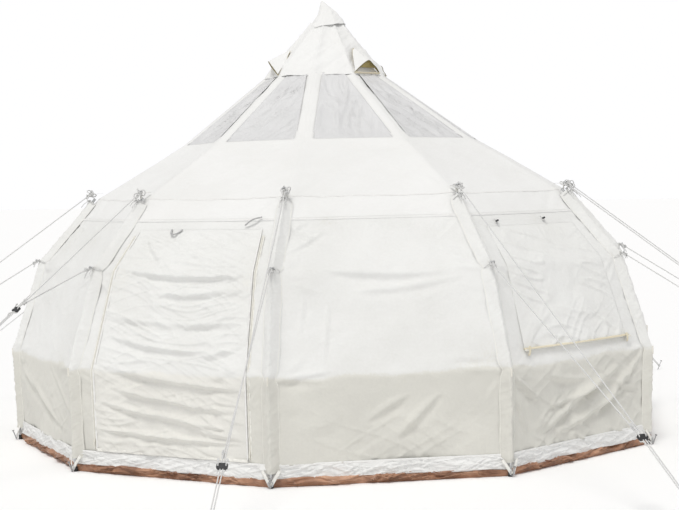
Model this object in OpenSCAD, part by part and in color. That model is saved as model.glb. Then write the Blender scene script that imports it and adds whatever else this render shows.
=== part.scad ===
// Ten-sided canvas bell tent on a centre pole and ten bent wall poles, with guy ropes.
// Origin on the ground under the centre pole, +Z up, the door faces -Y.

/* [Profile of the canvas, at its corners] */
// Corner radius at the ground
base_r = 2480; // [2440:10:2500]
// Corner radius at the widest bend of the wall
knee_r = 2500; // [2480:10:2540]
// Height of the widest bend
knee_z = 690; // [640:10:740]
// Corner radius at the shoulder bend
shoulder_r = 2280; // [2240:10:2320]
// Height of the shoulder bend
shoulder_z = 1350; // [1300:10:1400]
// Corner radius at the eave
eave_r = 1850; // [1800:10:1900]
// Height of the eave
eave_z = 1840; // [1800:10:1880]
// Corner radius at the foot of the net windows in the roof
net_r = 1170; // [1150:10:1240]
// Height of the foot of the net windows
net_z = 2240; // [2200:10:2260]
// Corner radius where the roof ends under the cap
rim_r = 460; // [450:10:480]
// Height where the roof ends under the cap
rim_z = 2770; // [2740:10:2800]
// Height of the peak
peak_z = 3360; // [3330:10:3400]

/* [Canvas and groundsheet] */
// Thickness of a canvas solid
canvas_t = 4; // [3:0.5:5]
// Gap along each seam between two canvas solids
seam = 1; // [1:0.5:2]
// Height of the groundsheet's upstand
upstand_h = 60; // [60:5:80]
// Height of the top of the gathered hem
hem_z = 165; // [155:5:190]
// Height of the foot of the seam band under the eave
band_z = 1685; // [1660:5:1700]
// Width of half a roof rib, on each side of its corner
rib_w = 75; // [60:1:80]

/* [Door and windows] */
// Half width of the door flap, as a share of its wall's half width
door_u = 0.78; // [0.6:0.01:0.8]
// Height of the top of the door flap
door_top = 1620; // [1560:5:1640]
// Half width of a window flap, as a share of its wall's half width
window_u = 0.74; // [0.6:0.01:0.76]
// Height of the foot of a window flap
window_foot = 790; // [760:5:850]
// Height of the top of a window flap
window_top = 1600; // [1560:5:1630]
// How far a flap overlaps its opening
flap_lap = 40; // [30:5:50]

/* [Poles] */
// Radius of a wall pole
wall_pole_r = 9.5; // [8:0.5:11]
// Outer radius of a pole sleeve
sleeve_r = 22; // [20:1:23]
// Distance from a corner of the canvas to the middle of its pole
pole_gap = 24; // [24:1:30]
// Radius of the centre pole
centre_pole_r = 19; // [16:0.5:25]

/* [Guy ropes] */
// Radius of a rope
rope_r = 4; // [3:0.5:4]
// Radius of a guy peg
peg_r = 3.7; // [3:0.1:3.7]
// Distance between the two strands at a peg
strand_gap = 16; // [16:1:18]
// Distance across a runner
runner_w = 64; // [60:1:70]

/* [Hidden] */
sides = 10;
step = 360 / sides;
t_half = tan(step / 2);
c_half = cos(step / 2);
first_corner = -144;                 // direction of the corner left of the wall left of the door
door_wall = 1;
window_walls = [3, 6, 9];
vent_walls = [0, 3, 5, 8];
wall_names = ["wall_front_left", "door_surround", "wall_front_right", "wall_right_front",
    "wall_right_rear", "wall_rear_right", "wall_rear", "wall_rear_left", "wall_left_rear",
    "wall_left_front"];
peg_radius = [4450, 4400, 4050, 4440, 4450, 4400, 4400, 4400, 4400, 4400];
runner_share = [0.8, 0.4, 0.815, 0.77, 0.8, 0.8, 0.8, 0.8, 0.8, 0.8];
profile = [[base_r, 0], [knee_r, knee_z], [shoulder_r, shoulder_z], [eave_r, eave_z],
    [net_r, net_z], [rim_r, rim_z]];
skirt_foot = [rim_r + 28, rim_z - 10];
skirt_top = [118, peak_z - 170];
floor_t = 4;
pole_wall_t = 1.2;
flap_t = 3;
spigot_l = 60;
tie_h = 70;                          // half the bare stretch of pole at a bend
ring_r = 16;
ring_wire_r = 3;
eave_ring_gap = 70;
shoulder_ring_gap = 58;
rope_start = 22;
rope_on_peg = 45;
runner_l = 40;
runner_t = 14;
runner_cut = 8;                      // chamfer on a runner's corners
runner_hole_y = 23;                  // from its middle to the hole for a rope's end
runner_hole_r = 5;
tail_gap = 72;                       // from the knot between two ropes to the runner
joint_past_tail = 32;                // where the shoulder rope ends, past that knot
hood_l = 260;
hood_r = 115;
hood_tip_r = 16;
hood_facets = 5;
peak_tip_r = 9;
peak_tip_h = 16;
crown_z = 3230;
pole_section = 1080;

// Directions of corner i and of the middle of wall i.
function corner_az(i) = first_corner + step * i;
function wall_az(i) = corner_az(i) + step / 2;
function unit(v) = v / norm(v);
function outward(e) = [e[1], -e[0]];
function radius_at(z) = lookup(z, [for (p = profile) [p[1], p[0]]]);

// The stretch of the profile from height z0 to z1, with the bends between them.
function stretch(z0, z1) = concat([[radius_at(z0), z0]],
    [for (p = profile) if (p[1] > z0 + 1 && p[1] < z1 - 1) p], [[radius_at(z1), z1]]);

// A flat plate on wall i between two points of a corner profile. Each side is [share, shift]:
// a share of the wall's half width plus a shift. It lies n0 to n1 outside the profile.
module plate(i, a, b, side_a, side_b, n0, n1) {
    p = [a[0] * c_half, a[1]];
    q = [b[0] * c_half, b[1]];
    e = unit(q - p);
    n = outward(e);
    section = [p + e * seam + n * n0, p + e * seam + n * n1,
        q - e * seam + n * n1, q - e * seam + n * n0];
    rotate([0, 0, wall_az(i)])
        polyhedron(
            points = [for (s = [side_a, side_b]) for (c = section)
                [c[0], s[0] * c[0] * t_half + s[1], c[1]]],
            faces = [[0, 3, 2, 1], [4, 5, 6, 7], [0, 1, 5, 4], [1, 2, 6, 5], [2, 3, 7, 6],
                [3, 0, 4, 7]]);
}

// Plates along the canvas profile from z0 to z1.
module sheet(i, z0, z1, side_a, side_b, n0, n1) {
    s = stretch(z0, z1);
    for (k = [0:len(s) - 2])
        plate(i, s[k], s[k + 1], side_a, side_b, n0, n1);
}

module full_sheet(i, z0, z1, n0 = -canvas_t, n1 = 0)
    sheet(i, z0, z1, [-1, seam], [1, -seam], n0, n1);

// Both halves of a wall beside an opening of half width u, between heights z0 and z1.
module jambs(i, z0, z1, u, lap = 0) {
    sheet(i, z0, z1, [-1, seam], [-u, lap], -canvas_t, 0);
    sheet(i, z0, z1, [u, -lap], [1, -seam], -canvas_t, 0);
}

// The corner profile moved outwards by gap, as the line of a pole.
function pole_point(k, gap = pole_gap) =
    let (n = unit(bend_normal(k))) profile[k] + n * gap / bend_cos(k);
function segment_normal(k) = outward(unit(profile[k + 1] - profile[k]));
function bend_normal(k) = k == 0 ? segment_normal(0) : segment_normal(k - 1) + segment_normal(k);
function bend_cos(k) = k == 0 ? 1 : unit(bend_normal(k)) * segment_normal(k);
function part_way(a, b, s) = a + (b - a) * s;

// A straight or bent round bar through points [radius, height] in a corner's vertical plane.
module bar(points, r) {
    for (k = [0:len(points) - 2]) {
        v = points[k + 1] - points[k];
        translate([points[k][0], 0, points[k][1]])
            rotate([0, 90 - atan2(v[1], v[0]), 0])
                cylinder(r = r, h = norm(v), $fn = 24);
    }
    for (k = [1:1:len(points) - 2])
        translate([points[k][0], 0, points[k][1]])
            sphere(r = r, $fn = 24);
}

module tube(points, outer, inner)
    difference() {
        bar(points, outer);
        bar(lengthened(points), inner);
    }
function lengthened(p) = concat([p[0] + unit(p[0] - p[1])],
    [for (k = [1:1:len(p) - 2]) p[k]],
    [p[len(p) - 1] + unit(p[len(p) - 1] - p[len(p) - 2])]);

module at_corners() for (i = [0:sides - 1]) rotate([0, 0, corner_az(i)]) children();

// ---- groundsheet and walls ----
module groundsheet_floor() color("saddlebrown")
    rotate([0, 0, corner_az(0)])
        linear_extrude(floor_t)
            polygon([for (k = [0:sides - 1]) (base_r - 12) * [cos(k * step), sin(k * step)]]);

module groundsheet_upstand() color("peru")
    for (i = [0:sides - 1]) full_sheet(i, 0, upstand_h);

module hem_band() color("white")
    for (i = [0:sides - 1]) full_sheet(i, upstand_h, hem_z, -canvas_t, 2);

module plain_wall(i) color("linen") full_sheet(i, hem_z, band_z);

module door_surround() color("linen") {
    jambs(door_wall, hem_z, door_top - flap_lap, door_u, flap_lap / 2);
    full_sheet(door_wall, door_top - flap_lap, band_z);
}

module window_wall(i) color("linen") {
    full_sheet(i, hem_z, window_foot + flap_lap);
    jambs(i, window_foot + flap_lap, window_top - flap_lap, window_u, flap_lap);
    full_sheet(i, window_top - flap_lap, band_z);
}

module wall(i)
    if (i == door_wall) door_surround();
    else if (search(i, window_walls)) window_wall(i);
    else plain_wall(i);

module window_net() color("gray")
    for (i = window_walls)
        sheet(i, window_foot + flap_lap, window_top - flap_lap,
            [-window_u, flap_lap + seam], [window_u, -flap_lap - seam], -2.5, -1.5);

// ---- roof and cap ----
module eave_band() color("ivory")
    for (i = [0:sides - 1]) full_sheet(i, band_z, eave_z);

module roof_canvas() color("ivory")
    for (i = [0:sides - 1]) full_sheet(i, eave_z, net_z);

module roof_net() color("gainsboro")
    for (i = [0:sides - 1]) full_sheet(i, net_z, rim_z, -2, -0.5);

module roof_ribs() color("white")
    for (i = [0:sides - 1]) {
        sheet(i, net_z, rim_z, [1, -rib_w], [1, -seam], 0, 3);
        sheet(i, net_z, rim_z, [-1, seam], [-1, rib_w], 0, 3);
    }

module cap_skirt() color("white")
    for (i = [0:sides - 1])
        plate(i, skirt_foot, skirt_top, [-1, seam], [1, -seam], 0, canvas_t);

module cap_peak() color("snow") {
    for (i = [0:sides - 1])
        plate(i, skirt_top + [0, 2], [peak_tip_r, peak_z - peak_tip_h], [-1, seam], [1, -seam],
            0, canvas_t / 2);
    translate([0, 0, peak_z - peak_tip_h + 1.5])
        cylinder(r1 = peak_tip_r, r2 = 3, h = peak_tip_h - 1.5, $fn = 20);
}

// Places a child on the outside of the cap over wall i, its Z along the slope.
module on_cap(i) {
    p = [skirt_foot[0] * c_half, skirt_foot[1]];
    v = [skirt_top[0] * c_half, skirt_top[1]] - p;
    rotate([0, 0, wall_az(i)])
        translate([p[0], 0, p[1]])
            rotate([0, 90 - atan2(v[1], v[0]), 0])
                translate([canvas_t + 1, 0, 2]) children();
}

// One flat panel of a hood between two directions round its ridge.
module hood_facet(a0, a1) {
    inner_r = hood_r - canvas_t;
    inner_tip = hood_tip_r - canvas_t;
    polyhedron(
        points = [for (a = [a0, a1]) for (c = [[inner_r, 0], [hood_r, 0], [hood_tip_r, hood_l],
            [inner_tip, hood_l]]) [c[0] * cos(a), c[0] * sin(a), c[1]]],
        faces = [[0, 1, 2, 3], [4, 7, 6, 5], [0, 4, 5, 1], [1, 5, 6, 2], [2, 6, 7, 3],
            [3, 7, 4, 0]]);
}

module vent_hoods() color("ivory")
    for (i = vent_walls) on_cap(i)
        for (k = [0:hood_facets - 1])
            hood_facet(-90 + 180 * k / hood_facets + 0.6, -90 + 180 * (k + 1) / hood_facets - 0.6);

module vent_net() color("darkkhaki")
    for (i = vent_walls) on_cap(i)
        intersection() {
            translate([0, 0, 14]) cylinder(r = hood_r - 24, h = 2, $fn = 48);
            translate([0, -hood_r, 0]) cube([hood_r, hood_r * 2, hood_l]);
        }

// ---- centre pole ----
module pole_length(z0, z1, spigot) {
    difference() {
        translate([0, 0, z0]) cylinder(r = centre_pole_r, h = z1 - z0, $fn = 48);
        translate([0, 0, z0 - 1])
            cylinder(r = centre_pole_r - 1.8, h = z1 - z0 + 2, $fn = 48);
    }
    if (spigot)
        translate([0, 0, z1 - spigot_l]) cylinder(r = centre_pole_r - 1.8, h = spigot_l, $fn = 48);
    if (spigot)
        translate([0, 0, z1 - 1]) cylinder(r = centre_pole_r - 1.9, h = spigot_l, $fn = 48);
}

module centre_pole_lower() color("silver") pole_length(20, pole_section, true);
module centre_pole_middle() color("silver") pole_length(pole_section, 2 * pole_section, true);
module centre_pole_upper() color("silver") pole_length(2 * pole_section, crown_z, false);

module centre_pole_foot() color("dimgray")
    difference() {
        union() {
            translate([0, 0, floor_t]) cylinder(r = 55, h = 10, $fn = 64);
            translate([0, 0, floor_t]) cylinder(r = centre_pole_r + 7, h = 46, $fn = 48);
        }
        translate([0, 0, 20]) cylinder(r = centre_pole_r + 0.1, h = 60, $fn = 48);
    }

module centre_pole_crown() color("dimgray")
    rotate_extrude($fn = 64)
        polygon([[0, crown_z], [40, crown_z], [44, crown_z + 8], [40, crown_z + 18],
            [22, crown_z + 30], [0, crown_z + 34]]);

// ---- wall poles ----
middle_of_wall = part_way(pole_point(1), pole_point(2), 0.5);
pole_foot = pole_point(0) + [0, 12];

module wall_pole_lower() color("silver") {
    along = unit(pole_point(2) - pole_point(1));
    at_corners() {
        tube([pole_foot, pole_point(1), middle_of_wall], wall_pole_r, wall_pole_r - pole_wall_t);
        bar([middle_of_wall - along * spigot_l, middle_of_wall],
            wall_pole_r - pole_wall_t);
        bar([middle_of_wall - along, middle_of_wall + along * spigot_l],
            wall_pole_r - pole_wall_t - 0.1);
    }
}

module wall_pole_upper() color("silver")
    at_corners()
        tube([middle_of_wall, pole_point(2), part_way(pole_point(2), pole_point(3), 0.97)],
            wall_pole_r, wall_pole_r - pole_wall_t);

module wall_pole_feet() color("dimgray")
    at_corners()
        translate([base_r + pole_gap, 0, 0])
            difference() {
                cylinder(r = 14, h = 34, $fn = 32);
                translate([0, 0, 10]) cylinder(r = wall_pole_r + 1.5, h = 34, $fn = 32);
            }

// Straight stretches of sleeve, which leave the pole bare at its bends.
module pole_sleeves() color("ivory")
    at_corners()
        for (k = [0:2]) {
            a = pole_point(k);
            b = pole_point(k + 1);
            e = unit(b - a);
            start = k == 0 ? hem_z + 5 : tie_h;
            tube([a + e * start, b - e * tie_h], sleeve_r, wall_pole_r + 2);
        }

// ---- rings, tabs, toggles and corner pegs ----
eave_n = segment_normal(2);
shoulder_n = unit(bend_normal(2));
eave_ring = profile[3] + eave_n * eave_ring_gap;
shoulder_ring = profile[2] + shoulder_n * shoulder_ring_gap;

// A strap standing out from the canvas at point p along n, between distances g0 and g1.
module strap(p, n, g0, g1, w, t)
    translate([p[0], 0, p[1]])
        rotate([0, -atan2(n[1], n[0]), 0])
            translate([g0, -w / 2, -t / 2]) cube([g1 - g0, w, t]);

module guy_tabs() color("white")
    at_corners() {
        strap(profile[3], eave_n, 1, eave_ring_gap - ring_r - ring_wire_r - 0.5, 28, 3);
        strap(profile[2], shoulder_n, pole_gap + wall_pole_r + 1,
            shoulder_ring_gap - ring_r - ring_wire_r - 0.3 + 0.1, 26, 3);
    }

module flat_ring(p, n, r, wire)
    translate([p[0], 0, p[1]])
        rotate([0, -atan2(n[1], n[0]), 0])
            rotate_extrude($fn = 48) translate([r, 0]) circle(r = wire, $fn = 24);

module guy_rings() color("silver")
    at_corners() {
        flat_ring(eave_ring, eave_n, ring_r, ring_wire_r);
        flat_ring(shoulder_ring, shoulder_n, ring_r, ring_wire_r);
    }

module wall_toggles() color("beige")
    at_corners()
        translate([knee_r + pole_gap + wall_pole_r + 8, 0, knee_z - 38])
            cylinder(r = 6, h = 56, $fn = 24);

corner_out = base_r + pole_gap + sleeve_r + 3;
module corner_webbing() color("white")
    at_corners()
        for (s = [-1, 1])
            translate([corner_out, 0, 53])
                rotate([s * 33, 0, 0]) translate([0, -10, 0]) cube([3, 20, 92]);

module corner_rings() color("silver")
    at_corners()
        translate([corner_out + 1.5, 0, 29])
            rotate([0, 90, 0]) rotate_extrude($fn = 48) translate([17, 0]) circle(r = 3, $fn = 24);

module corner_pegs() color("gray")
    at_corners()
        difference() {
            translate([corner_out + 5, 0, 0])
                rotate([0, 20, 0]) {
                    translate([0, 0, -20]) cylinder(r = 4, h = 95, $fn = 24);
                    translate([0, 0, 70]) cylinder(r = 9, h = 6, $fn = 24);
                }
            below_ground(base_r + 200);
        }

module below_ground(x) translate([x - 400, -200, -400]) cube([800, 400, 400]);

// ---- guy ropes ----
// Slope of rope i below level, and its length from ring to peg.
function peg_foot(i) = [peg_radius[i], 0];
function lean(i) = atan2(eave_ring[1], peg_radius[i] - eave_ring[0]);
function peg_hold(i) = peg_foot(i) + rope_on_peg * [sin(lean(i)), cos(lean(i))];
function rope_slope(i) = let (v = peg_hold(i) - eave_ring) atan2(-v[1], v[0]);
function rope_length(i) = norm(peg_hold(i) - eave_ring);

// X along rope i from its ring to its peg, Z square to it and upwards.
module on_rope(i)
    rotate([0, 0, corner_az(i)])
        translate([eave_ring[0], 0, eave_ring[1]])
            rotate([0, rope_slope(i), 0]) children();

// A round rope along points [x, y] in its own plane.
module rope(points) {
    m = 8;
    last = len(points) - 1;
    verts = [for (k = [0:last]) let (
        d = unit(points[min(k + 1, last)] - points[max(k - 1, 0)]), side = [-d[1], d[0]])
        for (j = [0:m - 1]) let (c = rope_r * cos(j * 360 / m) * side)
            [points[k][0] + c[0], points[k][1] + c[1], rope_r * sin(j * 360 / m)]];
    polyhedron(points = verts, faces = concat(
        [[for (j = [0:m - 1]) j], [for (j = [m - 1:-1:0]) last * m + j]],
        [for (k = [0:last - 1]) for (j = [0:m - 1])
            [k * m + j, (k + 1) * m + j, (k + 1) * m + (j + 1) % m, k * m + (j + 1) % m]]));
}

function tail_x(i) = rope_length(i) * runner_share[i] - tail_gap;
function main_route(i) = let (h = strand_gap / 2, l = rope_length(i)) concat(
    [[rope_start, h], [l / 2, h], [l - 30, h]],
    [for (a = [0:30:180]) [l + h * sin(a), h * cos(a)]],
    [[l - 30, -h], [(l + tail_x(i)) / 2, -h], [tail_x(i), -h]]);

module guy_ropes() color("whitesmoke")
    for (i = [0:sides - 1])
        on_rope(i) {
            rope(main_route(i));
            translate([tail_x(i) - 14, -strand_gap / 2, 0])
                rotate([0, 90, 0]) cylinder(r = 6.5, h = 14, $fn = 24);
        }

// The shoulder rope ends under the strand from the peg, where the two are knotted together.
function joint_point(i) = let (a = rope_slope(i), x = tail_x(i) + joint_past_tail, z = -2 * rope_r - 1)
    eave_ring + [x * cos(a) + z * sin(a), -x * sin(a) + z * cos(a)];

module branch_ropes() color("whitesmoke")
    for (i = [0:sides - 1]) {
        v = joint_point(i) - shoulder_ring;
        rotate([0, 0, corner_az(i)])
            translate([shoulder_ring[0], -strand_gap / 2, shoulder_ring[1]])
                rotate([0, atan2(-v[1], v[0]), 0])
                    rope([[rope_start, 0], [norm(v) / 2, 0], [norm(v), 0]]);
    }

module guy_pegs() color("gray")
    for (i = [0:sides - 1])
        difference() {
            on_rope(i) translate([rope_length(i), 0, 0]) {
                translate([0, 0, -rope_on_peg - 20])
                    cylinder(r = peg_r, h = rope_on_peg + 80, $fn = 24);
                translate([0, 0, 54]) cylinder(r = 9, h = 6, $fn = 24);
            }
            rotate([0, 0, corner_az(i)]) below_ground(peg_radius[i]);
        }

module runner(i) color("black")
    on_rope(i)
        translate([rope_length(i) * runner_share[i], 0, 0])
            difference() {
                translate([0, 0, -runner_t / 2])
                    linear_extrude(runner_t)
                        polygon([for (s = [1, -1]) for (c = s > 0 ?
                            [[0, runner_cut], [runner_cut, 0], [runner_l - runner_cut, 0],
                                [runner_l, runner_cut]] :
                            [[runner_l, runner_cut], [runner_l - runner_cut, 0],
                                [runner_cut, 0], [0, runner_cut]])
                            [c[0], s * (runner_w / 2 - c[1])]]);
                for (s = [-1, 1]) {
                    translate([-1, s * strand_gap / 2, 0])
                        rotate([0, 90, 0]) cylinder(r = rope_r + 0.4, h = runner_l + 2, $fn = 16);
                    translate([runner_l / 2, s * runner_hole_y, -runner_t])
                        cylinder(r = runner_hole_r, h = 2 * runner_t, $fn = 16);
                }
            }

// ---- door ----
module door_flap() color("linen")
    sheet(door_wall, hem_z + 10, door_top, [-door_u, 0], [door_u, 0], 1, 1 + flap_t);

module door_zip_tapes() color("white")
    for (s = [-1, 1]) {
        sides_of_tape = s < 0 ? [[-door_u, -28], [-door_u, -3]] : [[door_u, 3], [door_u, 28]];
        sheet(door_wall, hem_z + 10, door_top - 60, sides_of_tape[0], sides_of_tape[1], 0.5, 2.5);
    }

// A slider near the foot of a zip, on the side s of the door.
module zip_slider(s) color("silver")
    rotate([0, 0, wall_az(door_wall)]) {
        x = radius_at(hem_z + 40) * c_half;
        translate([x + 3.6, s * (door_u * x * t_half + 15), hem_z + 40]) {
            translate([0, -6, 0]) cube([6, 12, 26]);
            translate([6, -3, 4]) cube([3, 6, 10]);
            translate([9, -5, -26]) cube([2.5, 10, 42]);
        }
    }

// ---- window flaps and their bars ----
module window_flap(k) color("linen")
    sheet(window_walls[k], window_foot, window_top, [-window_u, 0], [window_u, 0], 1, 1 + flap_t);

module window_bar(k) color("wheat") {
    x = radius_at(window_foot) * c_half;
    w = x * t_half * window_u;
    rotate([0, 0, wall_az(window_walls[k])])
        translate([x + 14, 0, window_foot + 16]) {
            translate([0, w + 6, 0]) rotate([90, 0, 0]) cylinder(r = 7, h = 2 * w + 12, $fn = 32);
            for (s = [-1, 1])
                translate([9, s * (w - 30), -50]) cylinder(r = 5, h = 60, $fn = 24);
        }
}

groundsheet_floor();
groundsheet_upstand();
hem_band();
for (i = [0:sides - 1]) wall(i);
window_net();
eave_band();
roof_canvas();
roof_net();
roof_ribs();
cap_skirt();
cap_peak();
vent_hoods();
vent_net();
centre_pole_lower();
centre_pole_middle();
centre_pole_upper();
centre_pole_foot();
centre_pole_crown();
wall_pole_lower();
wall_pole_upper();
wall_pole_feet();
pole_sleeves();
guy_tabs();
guy_rings();
wall_toggles();
corner_webbing();
corner_rings();
corner_pegs();
guy_pegs();
guy_ropes();
branch_ropes();
door_flap();
door_zip_tapes();
zip_slider(-1);  // zip_slider_left
zip_slider(1);  // zip_slider_right
for (i = [0:sides - 1]) runner(i);
for (k = [0:2]) window_flap(k);
for (k = [0:2]) window_bar(k);
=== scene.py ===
"""Ten-sided canvas bell tent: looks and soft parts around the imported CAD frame."""
import math

import bpy
import numpy as np
from mathutils import Matrix, Vector


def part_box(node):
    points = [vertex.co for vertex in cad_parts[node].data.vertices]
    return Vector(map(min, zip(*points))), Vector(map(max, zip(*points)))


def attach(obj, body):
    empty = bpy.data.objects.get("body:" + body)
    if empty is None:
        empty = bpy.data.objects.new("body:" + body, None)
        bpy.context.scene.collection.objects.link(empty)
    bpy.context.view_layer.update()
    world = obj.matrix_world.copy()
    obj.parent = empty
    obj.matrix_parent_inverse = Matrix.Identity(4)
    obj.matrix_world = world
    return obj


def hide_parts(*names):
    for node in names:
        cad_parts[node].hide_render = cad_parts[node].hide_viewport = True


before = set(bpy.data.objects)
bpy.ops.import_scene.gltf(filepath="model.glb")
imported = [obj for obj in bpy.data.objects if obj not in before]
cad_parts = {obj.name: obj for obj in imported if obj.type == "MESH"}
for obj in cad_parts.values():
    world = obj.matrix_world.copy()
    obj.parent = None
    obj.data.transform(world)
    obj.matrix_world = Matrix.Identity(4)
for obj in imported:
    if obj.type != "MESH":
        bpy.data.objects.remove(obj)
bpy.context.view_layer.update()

TENT = "tent"
TAU = 2 * math.pi

# ---------------------------------------------------------------- frame of the tent, in metres
SIDES = 10
STEP = TAU / SIDES
T_HALF, C_HALF, S_HALF = math.tan(STEP / 2), math.cos(STEP / 2), math.sin(STEP / 2)
FIRST_CORNER = math.radians(-144)
PROFILE = [(2.480, 0.0), (2.500, 0.690), (2.280, 1.350), (1.850, 1.840), (1.170, 2.240),
           (0.460, 2.770)]
HEM_Z, BAND_Z, NET_Z, RIM_Z, PEAK_Z = 0.142, 1.685, 2.240, 2.770, 3.360
KNEE, SHOULDER, EAVE = PROFILE[1], PROFILE[2], PROFILE[3]
UPSTAND_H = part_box("groundsheet_upstand")[1].z
RIB_W = 0.075
DOOR_WALL, WINDOW_WALLS, VENT_WALLS = 1, (3, 6, 9), (0, 3, 5, 8)
WALL_NODES = ["wall_front_left", "door_surround", "wall_front_right", "wall_right_front",
              "wall_right_rear", "wall_rear_right", "wall_rear", "wall_rear_left",
              "wall_left_rear", "wall_left_front"]
DOOR_U, DOOR_TOP = 0.78, 1.620
WINDOW_U, WINDOW_FOOT, WINDOW_TOP = 0.74, 0.790, 1.600
POLE_GAP = 0.024
ROPE_R, STRAND = 0.004, 0.008
PEG_RADIUS = [4.45, 4.40, 4.05, 4.44, 4.45, 4.40, 4.40, 4.40, 4.40, 4.40]
RUNNER_SHARE = [0.80, 0.40, 0.815, 0.77] + [0.80] * 6
RUNNER_L, RUNNER_T, RUNNER_HOLE = 0.040, 0.014, 0.023
LEAN_WAY = np.array([-0.88, -0.47])
LEAN_Z, LEAN_BY = [2.10, 2.77, 3.15, 3.26, 3.36], [0.0, 0.060, 0.042, 0.033, 0.075]


def corner_az(i):
    return FIRST_CORNER + STEP * i


def wall_az(i):
    return corner_az(i) + STEP / 2


def turned(points, az):
    """Points [..., 3] turned about Z by az."""
    p = np.asarray(points, float)
    c, s = math.cos(az), math.sin(az)
    return np.stack([p[..., 0] * c - p[..., 1] * s, p[..., 0] * s + p[..., 1] * c, p[..., 2]],
                    -1)


def unit(v):
    v = np.asarray(v, float)
    return v / np.linalg.norm(v, axis=-1, keepdims=True)


def lengths_along(p):
    """The length from the start of a path to each of its points."""
    return np.concatenate([[0], np.cumsum(np.linalg.norm(np.diff(p, axis=0), axis=1))])


# ---------------------------------------------------------------- camera
CAMERA_DISTANCE, CAMERA_HEIGHT, CAMERA_LENS = 11.80, 1.88, 79.0
CAMERA_AZ = math.radians(-61.68)
CAMERA_YAW, CAMERA_PITCH, CAMERA_ROLL = (math.radians(a) for a in (0.09, -2.55, 1.30))


def make_camera():
    data = bpy.data.cameras.new("Camera")
    data.lens, data.sensor_width = CAMERA_LENS, 36
    cam = bpy.data.objects.new("Camera", data)
    bpy.context.scene.collection.objects.link(cam)
    heading = CAMERA_AZ + math.pi - CAMERA_YAW
    level = np.array([math.cos(heading), math.sin(heading), 0])
    side = np.array([level[1], -level[0], 0])
    up = np.array([0, 0, 1.0])
    ahead = math.cos(CAMERA_PITCH) * level + math.sin(CAMERA_PITCH) * up
    over = -math.sin(CAMERA_PITCH) * level + math.cos(CAMERA_PITCH) * up
    right = math.cos(CAMERA_ROLL) * side - math.sin(CAMERA_ROLL) * over
    top = math.sin(CAMERA_ROLL) * side + math.cos(CAMERA_ROLL) * over
    place = [CAMERA_DISTANCE * math.cos(CAMERA_AZ), CAMERA_DISTANCE * math.sin(CAMERA_AZ),
             CAMERA_HEIGHT]
    cam.matrix_world = Matrix([[right[k], top[k], -ahead[k], place[k]] for k in range(3)] + [
        [0, 0, 0, 1]])
    bpy.context.scene.camera = cam


make_camera()


# ---------------------------------------------------------------- materials
class Nodes:
    """A small helper that adds and links shader nodes."""

    def __init__(self, name):
        self.material = bpy.data.materials.new(name)
        self.material.use_nodes = True
        self.tree = self.material.node_tree
        self.shader = self.tree.nodes["Principled BSDF"]

    def add(self, kind, **values):
        node = self.tree.nodes.new("ShaderNode" + kind)
        for key, value in values.items():
            if key in node.inputs:
                node.inputs[key].default_value = value
            else:
                setattr(node, key, value)
        return node

    def link(self, source, target):
        self.tree.links.new(source, target)

    def math(self, operation, a, b=0.0):
        node = self.add("Math", operation=operation)
        for k, value in enumerate((a, b)):
            if isinstance(value, (int, float)):
                node.inputs[k].default_value = value
            else:
                self.link(value, node.inputs[k])
        return node.outputs[0]

    def noise(self, coords, scale, detail=3.0, rough=0.5):
        node = self.add("TexNoise", Scale=scale, Detail=detail, Roughness=rough)
        self.link(coords, node.inputs["Vector"])
        return node.outputs["Fac"]

    def ramp(self, fac, stops):
        node = self.add("ValToRGB")
        element = node.color_ramp.elements
        while len(element) < len(stops):
            element.new(0.5)
        for e, (place, colour) in zip(element, stops):
            e.position, e.color = place, (*colour, 1)
        self.link(fac, node.inputs["Fac"])
        return node.outputs["Color"]

    def bump(self, height, distance, strength=1.0, before=None):
        node = self.add("Bump", Distance=distance, Strength=strength)
        self.link(height, node.inputs["Height"])
        if before is not None:
            self.link(before, node.inputs["Normal"])
        return node.outputs["Normal"]


def weave_height(n, uv, threads_per_metre):
    """Over-and-under threads from UVs that are in metres."""
    xyz = n.add("SeparateXYZ")
    n.link(uv, xyz.inputs[0])
    k = math.pi * threads_per_metre
    waves = [n.math("SINE", n.math("MULTIPLY", xyz.outputs[a], k)) for a in (0, 1)]
    return n.math("MULTIPLY", waves[0], waves[1])


def cloth_material(name, light, dark, threads=900, creases=0.0016, rough=0.93, sheen=0.1,
                   low=None):
    """Woven cloth. low is a painted shade under the knee of the wall: a darker, warmer colour
    that stands in for the lower wall catching less light.
    """
    n = Nodes(name)
    uv = n.add("TexCoord").outputs["UV"]
    place = n.add("TexCoord").outputs["Object"]
    tone = n.noise(place, 1.7, 4.0, 0.6)
    slub = n.noise(uv, 55.0, 2.0, 0.5)
    mixed = n.math("ADD", n.math("MULTIPLY", tone, 0.75), n.math("MULTIPLY", slub, 0.25))
    stops = [(0.40, dark), (0.62, light)]
    # Painted shade: under the knee the ramp falls to low and a still darker copy of it, with a
    # wavy edge from the tone noise.
    if low:
        xyz = n.add("SeparateXYZ")
        n.link(place, xyz.inputs[0])
        rise = n.math("MULTIPLY", n.math("SUBTRACT", xyz.outputs[2], KNEE[1]), 20.0)
        above = n.add("Clamp")
        n.link(n.math("ADD", rise, tone), above.inputs["Value"])
        mixed = n.math("ADD", mixed, n.math("MULTIPLY", n.math(
            "SUBTRACT", above.outputs[0], 1.0), 0.38))
        stops = [(0.05, tuple(0.94 * c for c in low)), (0.25, low)] + stops
    n.link(n.ramp(mixed, stops), n.shader.inputs["Base Color"])
    n.shader.inputs["Roughness"].default_value = rough
    n.shader.inputs["Sheen Weight"].default_value = sheen
    n.shader.inputs["Specular IOR Level"].default_value = 0.2
    soft = n.bump(n.noise(place, 9.0, 5.0, 0.62), creases * 4, 0.55)
    fine = n.bump(n.noise(place, 38.0, 3.0, 0.6), creases, 0.5, soft)
    thread = n.bump(weave_height(n, uv, threads), 0.0002, 0.6, fine)
    n.link(thread, n.shader.inputs["Normal"])
    return n.material


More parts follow.
